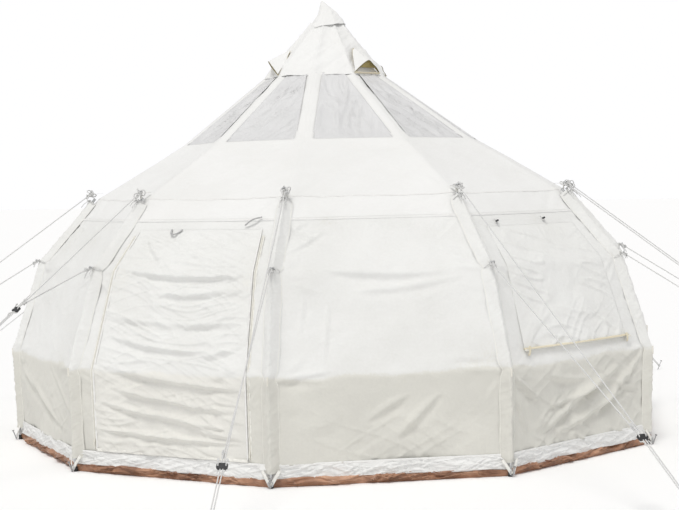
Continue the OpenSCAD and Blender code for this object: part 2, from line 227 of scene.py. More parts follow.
def net_material(name, colour, alpha):
    n = Nodes(name)
    uv = n.add("TexCoord").outputs["UV"]
    place = n.add("TexCoord").outputs["Object"]
    tone = n.noise(place, 2.5, 3.0, 0.6)
    dark = tuple(0.9 * c for c in colour)
    n.link(n.ramp(tone, [(0.3, dark), (0.7, colour)]), n.shader.inputs["Base Color"])
    n.shader.inputs["Roughness"].default_value = 0.6
    n.shader.inputs["Alpha"].default_value = alpha
    soft = n.bump(n.noise(place, 12.0, 3.0, 0.5), 0.006, 0.5)
    n.link(n.bump(weave_height(n, uv, 600), 0.0003, 0.8, soft), n.shader.inputs["Normal"])
    return n.material


def coated_sheet_material():
    n = Nodes("Groundsheet_coating")
    place = n.add("TexCoord").outputs["Object"]
    uv = n.add("TexCoord").outputs["UV"]
    tone = n.noise(place, 3.0, 5.0, 0.65)
    n.link(n.ramp(tone, [(0.30, (0.150, 0.068, 0.040)), (0.50, (0.360, 0.185, 0.110)),
                         (0.68, (0.560, 0.330, 0.215))]), n.shader.inputs["Base Color"])
    n.link(n.ramp(n.noise(place, 14.0, 4.0), [(0.3, (0.26,) * 3), (0.7, (0.44,) * 3)]),
           n.shader.inputs["Roughness"])
    soft = n.bump(n.noise(place, 16.0, 4.0, 0.6), 0.008, 0.6)
    n.link(n.bump(weave_height(n, uv, 350), 0.0003, 0.35, soft), n.shader.inputs["Normal"])
    return n.material


def metal_material(name, light, dark, rough=0.36, spots=60.0):
    n = Nodes(name)
    place = n.add("TexCoord").outputs["Object"]
    n.link(n.ramp(n.noise(place, spots, 4.0, 0.7), [(0.3, dark), (0.7, light)]),
           n.shader.inputs["Base Color"])
    n.link(n.ramp(n.noise(place, spots * 0.4, 3.0), [(0.3, (rough - 0.08,) * 3),
                                                    (0.7, (rough + 0.12,) * 3)]),
           n.shader.inputs["Roughness"])
    n.shader.inputs["Metallic"].default_value = 1.0
    n.link(n.bump(n.noise(place, spots * 3, 3.0), 0.0004, 0.3), n.shader.inputs["Normal"])
    return n.material


def plastic_material(name, light, dark, rough=0.45, grain=400.0):
    n = Nodes(name)
    place = n.add("TexCoord").outputs["Object"]
    n.link(n.ramp(n.noise(place, 25.0, 3.0), [(0.3, dark), (0.7, light)]),
           n.shader.inputs["Base Color"])
    n.shader.inputs["Roughness"].default_value = rough
    n.link(n.bump(n.noise(place, grain, 2.0), 0.0002, 0.4), n.shader.inputs["Normal"])
    return n.material


def webbing_material(name, light, dark, ribs=500):
    """Ribbed webbing, from UVs in metres."""
    n = Nodes(name)
    uv = n.add("TexCoord").outputs["UV"]
    xyz = n.add("SeparateXYZ")
    n.link(uv, xyz.inputs[0])
    rib = n.math("SINE", n.math("MULTIPLY", xyz.outputs[1], math.pi * ribs))
    tone = n.noise(uv, 40.0, 3.0)
    n.link(n.ramp(n.math("ADD", tone, n.math("MULTIPLY", rib, 0.06)),
                  [(0.3, dark), (0.6, light)]), n.shader.inputs["Base Color"])
    n.shader.inputs["Roughness"].default_value = 0.85
    n.shader.inputs["Sheen Weight"].default_value = 0.1
    n.link(n.bump(rib, 0.0005, 0.7), n.shader.inputs["Normal"])
    return n.material


def rope_material():
    """Plaited rope: crossing diagonal strands from UVs (turn, metres)."""
    n = Nodes("Rope_plait")
    uv = n.add("TexCoord").outputs["UV"]
    xyz = n.add("SeparateXYZ")
    n.link(uv, xyz.inputs[0])
    around = n.math("MULTIPLY", xyz.outputs[0], 4 * TAU)
    along = n.math("MULTIPLY", xyz.outputs[1], 700.0)
    cross = n.math("MULTIPLY", n.math("SINE", n.math("ADD", around, along)),
                   n.math("SINE", n.math("SUBTRACT", around, along)))
    n.link(n.ramp(n.math("ADD", n.math("MULTIPLY", cross, 0.5), 0.5),
                  [(0.0, (0.30, 0.30, 0.30)), (0.40, (0.70, 0.70, 0.69)),
                   (0.70, (0.86, 0.86, 0.85))]),
           n.shader.inputs["Base Color"])
    n.shader.inputs["Roughness"].default_value = 0.8
    n.link(n.bump(cross, 0.0008, 0.8), n.shader.inputs["Normal"])
    return n.material


# CANVAS and FLAP_CANVAS take a painted shade (low) on the wall under the knee, darker and warmer
# than their own colour.
CANVAS = cloth_material("Canvas_natural", (0.785, 0.787, 0.772), (0.742, 0.742, 0.722),
                        low=(0.690, 0.680, 0.628))
WHITE_CANVAS = cloth_material("Canvas_white", (0.820, 0.820, 0.810), (0.788, 0.787, 0.772))
FLAP_CANVAS = cloth_material("Canvas_flap", (0.790, 0.792, 0.776), (0.752, 0.752, 0.730),
                             creases=0.0022, low=(0.755, 0.745, 0.702))
BAR_CANVAS = cloth_material("Canvas_cream", (0.790, 0.735, 0.590), (0.700, 0.635, 0.480))
KHAKI = cloth_material("Lining_khaki", (0.600, 0.500, 0.210), (0.460, 0.370, 0.140))
DARK_KHAKI = cloth_material("Piping_khaki", (0.200, 0.170, 0.080), (0.110, 0.090, 0.040))
NET = net_material("Net_grey", (0.800, 0.800, 0.802), 0.90)
KHAKI_NET = net_material("Net_khaki", (0.560, 0.460, 0.190), 0.75)
COATED = coated_sheet_material()
STEEL = metal_material("Steel_galvanised", (0.66, 0.67, 0.68), (0.48, 0.49, 0.50))
PEG_STEEL = metal_material("Steel_peg", (0.50, 0.50, 0.50), (0.30, 0.30, 0.31), 0.42)
BLACK = plastic_material("Plastic_black", (0.030, 0.030, 0.032), (0.014, 0.014, 0.015))
ZIP_PLASTIC = plastic_material("Plastic_zip", (0.80, 0.78, 0.71), (0.68, 0.66, 0.59))
WEBBING = webbing_material("Webbing_white", (0.88, 0.87, 0.83), (0.72, 0.71, 0.66))
TAPE = webbing_material("Seam_tape", (0.86, 0.85, 0.80), (0.74, 0.73, 0.68), 300)
SEAM = webbing_material("Seam_white", (0.82, 0.815, 0.80), (0.76, 0.755, 0.735), 300)
ROPE = rope_material()


# ---------------------------------------------------------------- mesh helpers
def new_object(name, points, faces, uvs, material, smooth=True):
    mesh = bpy.data.meshes.new(name)
    mesh.from_pydata([tuple(p) for p in points], [], faces)
    if uvs is not None:
        layer = mesh.uv_layers.new(name="UVMap")
        corner_verts = np.zeros(len(mesh.loops), int)
        mesh.loops.foreach_get("vertex_index", corner_verts)
        layer.data.foreach_set("uv", np.asarray(uvs, float)[corner_verts].ravel())
    mesh.materials.append(material)
    mesh.polygons.foreach_set("use_smooth", np.full(len(mesh.polygons), smooth))
    mesh.update()
    obj = bpy.data.objects.new(name, mesh)
    bpy.context.scene.collection.objects.link(obj)
    return obj


def grid_faces(rows, columns, closed=False, keep=None, flip=False):
    """Quads of a grid of rows x columns points; keep[r, c] says which quads stay."""
    faces = []
    for r in range(rows - 1):
        for c in range(columns if closed else columns - 1):
            if keep is not None and not keep[r, c]:
                continue
            d = (c + 1) % columns
            quad = (r * columns + c, r * columns + d, (r + 1) * columns + d,
                    (r + 1) * columns + c)
            faces.append(quad[::-1] if flip else quad)
    return faces


def without_loose(points, uvs, faces):
    used = sorted({v for f in faces for v in f})
    index = {v: k for k, v in enumerate(used)}
    return points[used], uvs[used], [tuple(index[v] for v in f) for f in faces]


def thicken(obj, thickness):
    solid = obj.modifiers.new("Thickness", "SOLIDIFY")
    solid.thickness, solid.offset = thickness, 0


def grid_object(name, points, uvs, material, thickness=0.0, closed=False, keep=None,
                flip=False):
    rows, columns = points.shape[:2]
    faces = grid_faces(rows, columns, closed, keep, flip)
    flat, flat_uv, faces = without_loose(points.reshape(-1, 3), uvs.reshape(-1, 2), faces)
    obj = new_object(name, flat, faces, flat_uv, material)
    if thickness:
        thicken(obj, thickness)
    return obj


def joined(name, objects):
    """One object of several, for pieces that are made of repeated parts."""
    with bpy.context.temp_override(active_object=objects[0], selected_editable_objects=objects,
                                   selected_objects=objects):
        bpy.ops.object.join()
    objects[0].name = name
    return objects[0]


def settle(piece, slot, *nodes, body=TENT):
    """Puts a piece under its body and hides the CAD nodes that it replaces. slot is not used."""
    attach(piece, body)
    if nodes:
        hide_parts(*nodes)


def frames_along(path, up=(0, 0, 1)):
    """Directions, sides and tops along a path, without twist."""
    p = np.asarray(path, float)
    along = unit(np.gradient(p, axis=0))
    sides, tops = [], []
    side = np.cross(along[0], up)
    if np.linalg.norm(side) < 1e-6:
        side = np.cross(along[0], (1.0, 0, 0))
    for d in along:
        side = unit(side - d * np.dot(side, d))
        sides.append(side)
        tops.append(np.cross(side, d))
    return along, np.array(sides), np.array(tops)


def tube(name, path, radius, material, sides=8, strands=0, pitch=0.03, shape=None):
    """A closed tube along path. strands ridges wind round it once every pitch metres."""
    p = np.asarray(path, float)
    _, side, top = frames_along(p)
    run = lengths_along(p)
    angle = np.arange(sides) * TAU / sides
    r = np.full((len(p), sides), float(radius)) if np.isscalar(radius) else np.repeat(
        np.asarray(radius, float)[:, None], sides, 1)
    if strands:
        wind = TAU * run[:, None] / pitch
        r = r * (0.96 + 0.09 * np.cos(strands * angle[None, :] - wind))
    wide, high = shape if shape else (1.0, 1.0)
    ring = (p[:, None] + (r * np.cos(angle) * wide)[..., None] * side[:, None]
            + (r * np.sin(angle) * high)[..., None] * top[:, None])
    rows = len(p)
    faces = grid_faces(rows, sides, closed=True)
    faces += [tuple(range(sides))[::-1], tuple((rows - 1) * sides + k for k in range(sides))]
    uvs = np.stack(np.broadcast_arrays(angle[None, :] / TAU, run[:, None]), -1)
    return new_object(name, ring.reshape(-1, 3), faces, uvs.reshape(-1, 2), material)


def spaced(path, gap):
    """The same path with points about gap apart."""
    p = np.asarray(path, float)
    run = lengths_along(p)
    count = max(2, int(round(run[-1] / gap)) + 1)
    s = np.linspace(0, run[-1], count)
    return np.stack([np.interp(s, run, p[:, k]) for k in range(3)], -1)


def strap(name, path, normals, width, thickness, material, domed=0.0):
    """A flat strap along path, lying square to normals, with closed edges."""
    p = np.asarray(path, float)
    n = np.broadcast_to(unit(normals), p.shape)
    along = unit(np.gradient(p, axis=0))
    side = unit(np.cross(along, n))
    across = np.array([-0.5, -0.5, -0.25, 0, 0.25, 0.5, 0.5, 0.25, 0, -0.25])
    level = np.array([0, 1, 1 + domed * 0.7, 1 + domed, 1 + domed * 0.7, 1, 0, 0, 0, 0])
    w = np.full(len(p), float(width)) if np.isscalar(width) else np.asarray(width, float)
    ring = (p[:, None] + (across[None, :] * w[:, None])[..., None] * side[:, None]
            + (level * thickness)[None, :, None] * n[:, None])
    run = lengths_along(p)
    rows, m = len(p), len(across)
    faces = grid_faces(rows, m, closed=True)
    faces += [tuple(range(m))[::-1], tuple((rows - 1) * m + k for k in range(m))]
    uvs = np.stack(np.broadcast_arrays(across[None, :] * w[:, None], run[:, None]), -1)
    return new_object(name, ring.reshape(-1, 3), faces, uvs.reshape(-1, 2), material)


# ---------------------------------------------------------------- cords
def segment_normal(k):
    e = unit(np.subtract(PROFILE[k + 1], PROFILE[k]))
    return np.array([e[1], -e[0]])


EAVE_RING_GAP, SHOULDER_RING_GAP, ROPE_START, ROPE_ON_PEG = 0.070, 0.058, 0.022, 0.045
TAIL_GAP, JOINT_PAST_TAIL = 0.072, 0.032
EAVE_RING = np.array(EAVE) + segment_normal(2) * EAVE_RING_GAP
SHOULDER_RING = np.array(SHOULDER) + unit(segment_normal(1) + segment_normal(2)) * (
    SHOULDER_RING_GAP)


class GuyLine:
    """Rope i from its eave ring round its peg and back to the tail knot."""

    def __init__(self, i):
        self.i = i
        lean = math.atan2(EAVE_RING[1], PEG_RADIUS[i] - EAVE_RING[0])
        hold = np.array([PEG_RADIUS[i] + ROPE_ON_PEG * math.sin(lean),
                         ROPE_ON_PEG * math.cos(lean)])
        v = hold - EAVE_RING
        self.length = float(np.linalg.norm(v))
        self.d = v / self.length
        self.up = np.array([-self.d[1], self.d[0]])
        self.tail = self.length * RUNNER_SHARE[i] - TAIL_GAP
        self.joint = EAVE_RING + self.d * (self.tail + JOINT_PAST_TAIL) - self.up * (
            2 * ROPE_R + 0.001)

    def at(self, along, side, up=0.0):
        r = EAVE_RING + self.d * along + self.up * up
        return turned([r[0], side, r[1]], corner_az(self.i))

    def main_path(self):
        l, h = self.length, STRAND
        flat = [(ROPE_START, h), (l / 2, h), (l - 0.03, h)]
        flat += [(l + h * math.sin(a), h * math.cos(a)) for a in np.radians(range(0, 181, 30))]
        flat += [(l - 0.03, -h), ((l + self.tail) / 2, -h), (self.tail, -h)]
        return np.array([self.at(x, y) for x, y in flat])

    def branch_path(self):
        v = self.joint - SHOULDER_RING
        start = SHOULDER_RING + v / np.linalg.norm(v) * ROPE_START
        ends = [[start[0], -STRAND, start[1]], [self.joint[0], -STRAND, self.joint[1]]]
        return turned(ends, corner_az(self.i))


def with_bends(path, gap, bend_gap):
    """Spaces the long stretches at gap and keeps the short ones at bend_gap."""
    pieces = []
    for a, b in zip(path[:-1], path[1:]):
        step = gap if np.linalg.norm(b - a) > 0.05 else bend_gap
        pieces.append(spaced([a, b], step)[:-1])
    return np.concatenate(pieces + [path[-1:]])


def rope_tube(name, path, radius):
    return tube(name, path, radius, ROPE, 8, 3, 0.02)


def overhand_knot(name, centre, direction, size, radius):
    """A pulled-tight knot of rope around centre."""
    t = np.linspace(0, TAU, 49)[:-1]
    local = np.stack([np.sin(t) + 2 * np.sin(2 * t), np.cos(t) - 2 * np.cos(2 * t),
                      -1.3 * np.sin(3 * t)], -1) * size / 3
    d = unit(direction)
    side = unit(np.cross(d, (0.1, 0.2, 1.0)))
    top = np.cross(side, d)
    path = np.asarray(centre) + local[:, :1] * d * 1.2 + local[:, 1:2] * side + (
        local[:, 2:] * top)
    return rope_tube(name, np.concatenate([path, path[:1]]), radius)


def rope_loop(name, centre, reach, wide):
    """A loop of rope from centre out to centre + reach."""
    t = np.linspace(0, TAU, 25)
    c, reach = np.asarray(centre, float), np.asarray(reach, float)
    side = unit(np.cross(reach, (0, 0, 1.0))) * wide
    path = c + (0.5 - 0.5 * np.cos(t))[:, None] * reach + np.sin(t)[:, None] * side
    return rope_tube(name, path, ROPE_R * 0.95)


def make_runner_ends(line):
    """Two rope ends laced through the outer holes of a runner and over its edges."""
    i, parts = line.i, []
    x0 = line.length * RUNNER_SHARE[line.i] + RUNNER_L / 2
    rise, r = RUNNER_T / 2, 0.0036
    for s in (-1, 1):
        lift = rise + r
        flat = [(-0.036, 0.026, 0.012), (-0.028, 0.025, 0.012), (-0.020, 0.024, lift),
                (-0.006, RUNNER_HOLE, lift), (0, RUNNER_HOLE, rise * 0.5),
                (0, RUNNER_HOLE, -rise * 0.5), (0.006, RUNNER_HOLE, -lift),
                (0.024, 0.022, -lift), (0.034, 0.021, 0.002), (0.050, 0.018, 0.009),
                (0.066, 0.022, 0.001)]
        points = np.array([line.at(x0 + a, s * b, c) for a, b, c in flat])
        parts.append(tube(f"runner_end_{i}_{s}", spaced(points, 0.004), r, ROPE, 8, 3, 0.03))
        parts.append(overhand_knot(f"runner_knot_{i}_{s}", points[0], points[1] - points[0],
                                   0.006, 0.0030))
    ends = joined(f"Runner_ends_{i + 1}", parts)
    settle(ends, "rope", body=f"runner_{i + 1}")
    return ends


LINES = [GuyLine(i) for i in range(SIDES)]


def make_guy_line(line):
    i = line.i
    main_path, branch_path = line.main_path(), line.branch_path()
    knots, branch_knots = [], []
    d3 = turned([line.d[0], 0, line.d[1]], corner_az(i))
    start = line.at(ROPE_START, STRAND)
    knots.append(rope_loop(f"loop_a_{i}", start, -d3 * 0.036, 0.013))
    knots.append(overhand_knot(f"knot_a_{i}", start + d3 * 0.004, d3, 0.028, 0.0044))
    knots.append(overhand_knot(f"knot_e_{i}", start - d3 * 0.020, unit(d3 + (0.5, 0.3, 0.8)),
                               0.034, 0.0040))
    knots.append(overhand_knot(f"knot_b_{i}", line.at(line.tail - 0.007, -STRAND), d3, 0.012,
                               0.0042))
    b_dir = unit(branch_path[1] - branch_path[0])
    branch_knots.append(rope_loop(f"loop_c_{i}", branch_path[0], -b_dir * 0.036, 0.012))
    branch_knots.append(overhand_knot(f"knot_c_{i}", branch_path[0] + b_dir * 0.004, b_dir,
                                      0.019, 0.0042))
    branch_knots.append(overhand_knot(f"knot_d_{i}", branch_path[1] - b_dir * 0.020, d3, 0.011,
                                      0.0036))
    lump = joined(f"Rope_knots_{i + 1}", knots)
    branch_lump = joined(f"Shoulder_knots_{i + 1}", branch_knots)
    main = tube(f"Guy_rope_{i + 1}", with_bends(main_path, 0.012, 0.003), ROPE_R, ROPE, 9, 3,
                0.036)
    branch = tube(f"Shoulder_rope_{i + 1}", spaced(branch_path, 0.012), ROPE_R, ROPE, 9, 3,
                  0.036)
    ends = make_runner_ends(line)
    settle(lump, "rope")
    settle(branch_lump, "rope")
    settle(main, "rope", "guy_ropes")
    settle(branch, "rope", "branch_ropes")


for line in LINES:
    make_guy_line(line)


# ---------------------------------------------------------------- cloth shapes
def lattice_noise(x, y, seed):
    """Smooth noise from -1 to 1 with a period of one unit."""
    table = np.random.default_rng(seed).uniform(-1, 1, (64, 64))
    xi, yi = np.floor(x).astype(int), np.floor(y).astype(int)
    fx, fy = x - xi, y - yi
    fx, fy = (f * f * f * (f * (f * 6 - 15) + 10) for f in (fx, fy))
    a, b = table[xi % 64, yi % 64], table[(xi + 1) % 64, yi % 64]
    c, d = table[xi % 64, (yi + 1) % 64], table[(xi + 1) % 64, (yi + 1) % 64]
    return (a * (1 - fx) + b * fx) * (1 - fy) + (c * (1 - fx) + d * fx) * fy


def rough_noise(x, y, seed, octaves=3):
    return sum(lattice_noise(x * 2.03**k, y * 2.03**k, seed + k) * 0.5**k
               for k in range(octaves))


def creases(x, y, seed, angle, long, short):
    """Ridges that run along angle, long metres by short metres in size."""
    c, s = math.cos(angle), math.sin(angle)
    bend = 0.35 * lattice_noise(x / long, y / long, seed + 7)
    a = (x * c + y * s) / long
    b = (-x * s + y * c) / short + bend * long / short * 0.4
    ridge = 1 - np.abs(lattice_noise(a, b, seed)) * 2.2
    return np.clip(ridge, 0, 1) ** 2


def fold(x, y, start, end, amount, width, sag=0.0):
    """One fold from start to end: a ridge with a softer hollow under it."""
    a, b = np.array(start, float), np.array(end, float)
    v = b - a
    span = np.linalg.norm(v)
    v = v / span
    t = ((x - a[0]) * v[0] + (y - a[1]) * v[1]) / span
    tc = np.clip(t, 0, 1)
    off = -(x - a[0]) * v[1] + (y - a[1]) * v[0] + 4 * sag * tc * (1 - tc)
    ends = np.sin(np.pi * tc) ** 0.7 * ((t > 0) & (t < 1))
    w = width * (0.7 + 0.5 * np.sin(np.pi * tc))
    ridge = np.exp(-(off / w) ** 2) - 0.75 * np.exp(-((off + 1.6 * w) / (1.3 * w)) ** 2)
    return amount * ends * ridge


def rounded_profile():
    """The corner profile at 5 mm steps of its length, with soft bends."""
    p = np.array(PROFILE)
    run = lengths_along(p)
    s = np.arange(0, run[-1], 0.005)
    line = np.stack([np.interp(s, run, p[:, k]) for k in (0, 1)], -1)
    kernel = np.exp(-0.5 * (np.arange(-20, 21) / 2.2) ** 2)
    kernel /= kernel.sum()
    padded = np.concatenate([line[:1] + (line[:1] - line[20:0:-1]), line,
                             line[-1:] + (line[-1:] - line[-2:-22:-1])])
    soft = np.stack([np.convolve(padded[:, k], kernel, "valid") for k in (0, 1)], -1)
    tangent = unit(np.gradient(soft, axis=0))
    return s, soft, np.stack([tangent[:, 1], -tangent[:, 0]], -1)


RUN, LINE, LINE_N = rounded_profile()


def run_at(z):
    return float(np.interp(z, LINE[:, 1], RUN))


def profile_at(run):
    """Radius, height and outward normal of the corner profile at these lengths along it."""
    return [np.interp(run, RUN, v) for v in (*LINE.T, *LINE_N.T)]


def half_width(run):
    return profile_at(run)[0] * S_HALF


def on_wall(i, u, run, lift):
    """Points of wall i at share u of its half width, lifted off the cloth's plane."""
    r, z, nr, nz = profile_at(run)
    x = r * C_HALF
    normal = unit(np.stack([nr, nz * C_HALF], -1))
    y = u * x * T_HALF
    local = np.stack(np.broadcast_arrays(x + normal[..., 0] * lift, y,
                                         z + normal[..., 1] * lift), -1)
    return turned(local, wall_az(i))


def wall_grid(u_values, z0, z1, rows):
    run = np.linspace(run_at(z0), run_at(z1), rows)
    u, run = np.meshgrid(np.asarray(u_values, float), run)
    r = profile_at(run)[0]
    return u, run, u * r * S_HALF


def edge_pull(x, y, half, seed, reach=0.10, size=0.045, amount=0.0035):
    """Small puckers that run in from both side seams."""
    gap = half - np.abs(x)
    wave = lattice_noise(y / size, np.sign(x) * 3.3 + x * 1.2, seed)
    return amount * wave * np.exp(-gap / reach)


def corner_rays(x, y, half, seed, levels, reach, amount):
    """Tension folds that leave the side seams at the given lengths."""
    rng = np.random.default_rng(seed)
    total = np.zeros_like(x)
    for level in levels:
        h = float(np.interp(level, y[:, 0], half[:, 0]))
        for side in (-1, 1):
            for angle in rng.uniform(-55, 35, 4):
                a = math.radians(angle)
                long = reach * rng.uniform(0.5, 1.2)
                start = (side * h * 0.985, level + rng.uniform(-0.03, 0.03))
                end = (start[0] - side * long * math.cos(a), start[1] + long * math.sin(a))
                total += fold(x, y, start, end, amount * rng.uniform(0.4, 1.0),
                              rng.uniform(0.012, 0.024), rng.uniform(-0.01, 0.02))
    return total


def hem_gather(x, y, foot, seed, reach=0.11, amount=0.006):
    wave = lattice_noise(x / 0.035 + (y - foot) * 3.0, np.full_like(x, 2.5), seed)
    return amount * wave * np.exp(-(y - foot) / reach)


LEVELS = [run_at(KNEE[1]), run_at(SHOULDER[1])]
HEM_RUN, BAND_RUN = run_at(HEM_Z), run_at(BAND_Z)


def slack(x, y, seed, amount):
    """Wide, shallow unevenness of hanging cloth."""
    return amount * (rough_noise(x / 0.55, y / 0.45, seed) + 0.35 * rough_noise(
        x / 0.16, y / 0.13, seed + 40))


# Folds that the walls show: (start, end, height, width, sag); places are [share of half
# width, height above ground in m], sizes in mm.
WALL_FOLDS = {
    0: [((-0.9, 0.62), (0.3, 0.30), 7, 30, 10), ((-0.5, 0.55), (0.6, 0.22), 6, 26, 10),
        ((0.2, 0.68), (0.9, 0.35), 6, 24, 5)],
    2: [((-0.55, 1.36), (0.55, 1.33), 7, 26, 22), ((-0.3, 1.22), (0.75, 1.30), 5, 24, 20),
        ((-0.2, 0.40), (0.15, 0.56), 7, 24, -8), ((0.05, 0.28), (0.42, 0.56), 9, 26, -8),
        ((-0.92, 1.46), (-0.55, 1.60), 8, 18, 0), ((-0.9, 1.60), (-0.55, 1.76), 6, 16, 0),
        ((-0.75, 0.95), (-0.72, 1.20), 4, 14, 0), ((-0.55, 0.75), (-0.5, 1.15), 4, 14, 0)],
    3: [((-0.55, 0.24), (0.55, 0.60), 15, 30, -15), ((-0.3, 0.22), (0.75, 0.46), 12, 26, 8),
        ((-0.5, 0.40), (0.45, 0.52), 9, 22, 12), ((0.2, 0.25), (0.92, 0.66), 12, 28, -10),
        ((-0.95, 0.66), (-0.6, 0.45), 9, 18, 0), ((-0.95, 0.60), (-0.75, 0.25), 9, 20, 0),
        ((-0.5, 0.62), (0.1, 0.55), 6, 20, 15), ((0.35, 0.55), (0.9, 0.40), 7, 20, 8)],
}
FOLD_GAIN, DOOR_FOLD_GAIN = {0: 2.2, 2: 2.0, 3: 2.3}, 1.7


def listed_folds(folds, gain, x, y):
    """Folds from a list such as WALL_FOLDS, with their heights times gain."""
    total = np.zeros_like(x)
    for start, end, height, width, sag in folds:
        places = [(share * float(half_width(run_at(z))), run_at(z)) for share, z in (start, end)]
        total += fold(x, y, *places, gain * height / 1000, 0.85 * width / 1000, sag / 1000)
    return total


def wall_lift(i, u, run, x):
    half = half_width(run)
    inside = 1 - np.abs(u) ** 6
    lift = slack(x, run, 100 + i, 0.011) * inside
    lift += edge_pull(x, run, half, 200 + i)
    lift += corner_rays(x, run, half, 300 + i, LEVELS + [BAND_RUN], 0.34, 0.012) * inside
    lift += hem_gather(x, run, HEM_RUN, 400 + i) * inside
    lift += listed_folds(WALL_FOLDS.get(i, []), FOLD_GAIN.get(i, 1.0), x, run) * inside
    diagonal = creases(x, run, 500 + i, 0.6, 0.5, 0.07) + creases(x, run, 520 + i, -0.5, 0.45,
                                                                    0.08)
    diagonal *= np.clip(0.5 + 1.2 * rough_noise(x / 0.35, run / 0.3, 540 + i), 0, 1)
    lower = 1 / (1 + np.exp((run - LEVELS[0]) / 0.05))
    lift += (0.0110 if i == 3 else 0.0060) * diagonal * inside * (0.4 + 0.6 * lower)
    under_band = np.exp(-np.clip(BAND_RUN - run, 0, 9) / 0.09)
    lift += 0.010 * creases(x, run, 560 + i, 1.15, 0.16, 0.035) * under_band * inside
    return lift * np.clip((BAND_RUN - 0.016 - run) / 0.05, 0, 1)


PANEL_ROWS, PANEL_COLUMNS = 190, 110
CLOTH, NET_CLOTH = 0.0012, 0.0006


def spread(a, b, count, end=True):
    return list(np.linspace(a, b, count, endpoint=end))


def strip_area(z0, z1, u0=-1.0, u1=1.0):
    """Flat area of a wall's cloth between two heights, in square metres."""
    run = np.linspace(run_at(z0), run_at(z1), 100)
    width = half_width(run) * (u1 - u0)
    return float(((width[1:] + width[:-1]) / 2 * np.diff(run)).sum())


def make_wall(i):
    opening = None
    if i == DOOR_WALL:
        opening = (DOOR_U - 0.035, HEM_Z - 0.01, DOOR_TOP - 0.04)
    if i in WINDOW_WALLS:
        opening = (WINDOW_U - 0.055, WINDOW_FOOT + 0.04, WINDOW_TOP - 0.04)
    if opening:
        e = opening[0]
        u_values = spread(-1, -e, 20, False) + spread(-e, e, 72, False) + spread(e, 1, 20)
    else:
        u_values = spread(-1, 1, PANEL_COLUMNS)
    u, run, x = wall_grid(u_values, HEM_Z - 0.006, BAND_Z + 0.010, PANEL_ROWS)
    lift = wall_lift(i, u, run, x)
    keep, area = None, strip_area(HEM_Z, BAND_Z)
    if opening:
        r0, r1 = run_at(opening[1]), run_at(opening[2])
        mid_u = (u[:-1, :-1] + u[:-1, 1:]) / 2
        mid_run = (run[:-1, :-1] + run[1:, :-1]) / 2
        keep = ~((np.abs(mid_u) < opening[0]) & (mid_run > r0) & (mid_run < r1))
        area -= strip_area(opening[1], opening[2], -opening[0], opening[0])
        near = np.clip((np.abs(u) - opening[0]) / 0.12, 0, 1)
        outside = np.clip(np.maximum(r0 - run, run - r1) / 0.18, 0, 1)
        calm = np.maximum(near, outside)
        lift = lift * calm - 0.003 * (1 - calm)
    points = on_wall(i, u, run, lift)
    uvs = np.stack([x, run], -1)
    name = WALL_NODES[i].replace("door_surround", "wall_front")
    piece = grid_object("Canvas_" + name, points, uvs, CANVAS, CLOTH, keep=keep)
    settle(piece, "canvas", WALL_NODES[i])


for wall in range(SIDES):
    make_wall(wall)


# ---------------------------------------------------------------- roof, hem and groundsheet
SEAM_PATHS = []


def note_seam(walls, u, run, lift, row, width):
    """Keep a row of a cloth, with its outward direction, for a seam tape on it."""
    at = [a[row:row + 1] for a in (walls, u, run)]
    path = leaned(ring_points(*at, lift[row:row + 1] + 0.0007))[0]
    out = leaned(ring_points(*at, lift[row:row + 1] + 0.0107))[0] - path
    SEAM_PATHS.append((np.concatenate([path, path[:1]]), unit(np.concatenate([out, out[:1]])),
                       width))


def ring_grid(u_values, z0, z1, rows):
    """A grid that runs round all ten walls, as wall numbers, shares and lengths."""
    run = np.linspace(run_at(z0), run_at(z1), rows)
    shares = np.tile(u_values, SIDES)
    walls = np.repeat(np.arange(SIDES), len(u_values))
    u, r = np.meshgrid(shares, run)
    return np.broadcast_to(walls, u.shape), u, r


def all_round(place, walls, u, along, lift, *more):
    """Points of a cloth that runs round all walls; place gives those of one wall."""
    points = np.zeros(u.shape + (3,))
    for i in range(SIDES):
        here = walls == i
        points[:, here] = place(i, u[:, here], along[:, here], lift[:, here], *more)
    return points


def ring_points(walls, u, run, lift):
    return all_round(on_wall, walls[0], u, run, lift)


def ring_x(walls, u, run):
    """Distance round the ring, for patterns that must not repeat from wall to wall."""
    return (u + 2 * walls) * profile_at(run)[0] * S_HALF


def leaned(points):
    """The top of the tent leans a little to one side, as it does on a real pole."""
    points = np.array(points, float)
    points[..., :2] += np.interp(points[..., 2:3], LEAN_Z, LEAN_BY) * LEAN_WAY
    return points


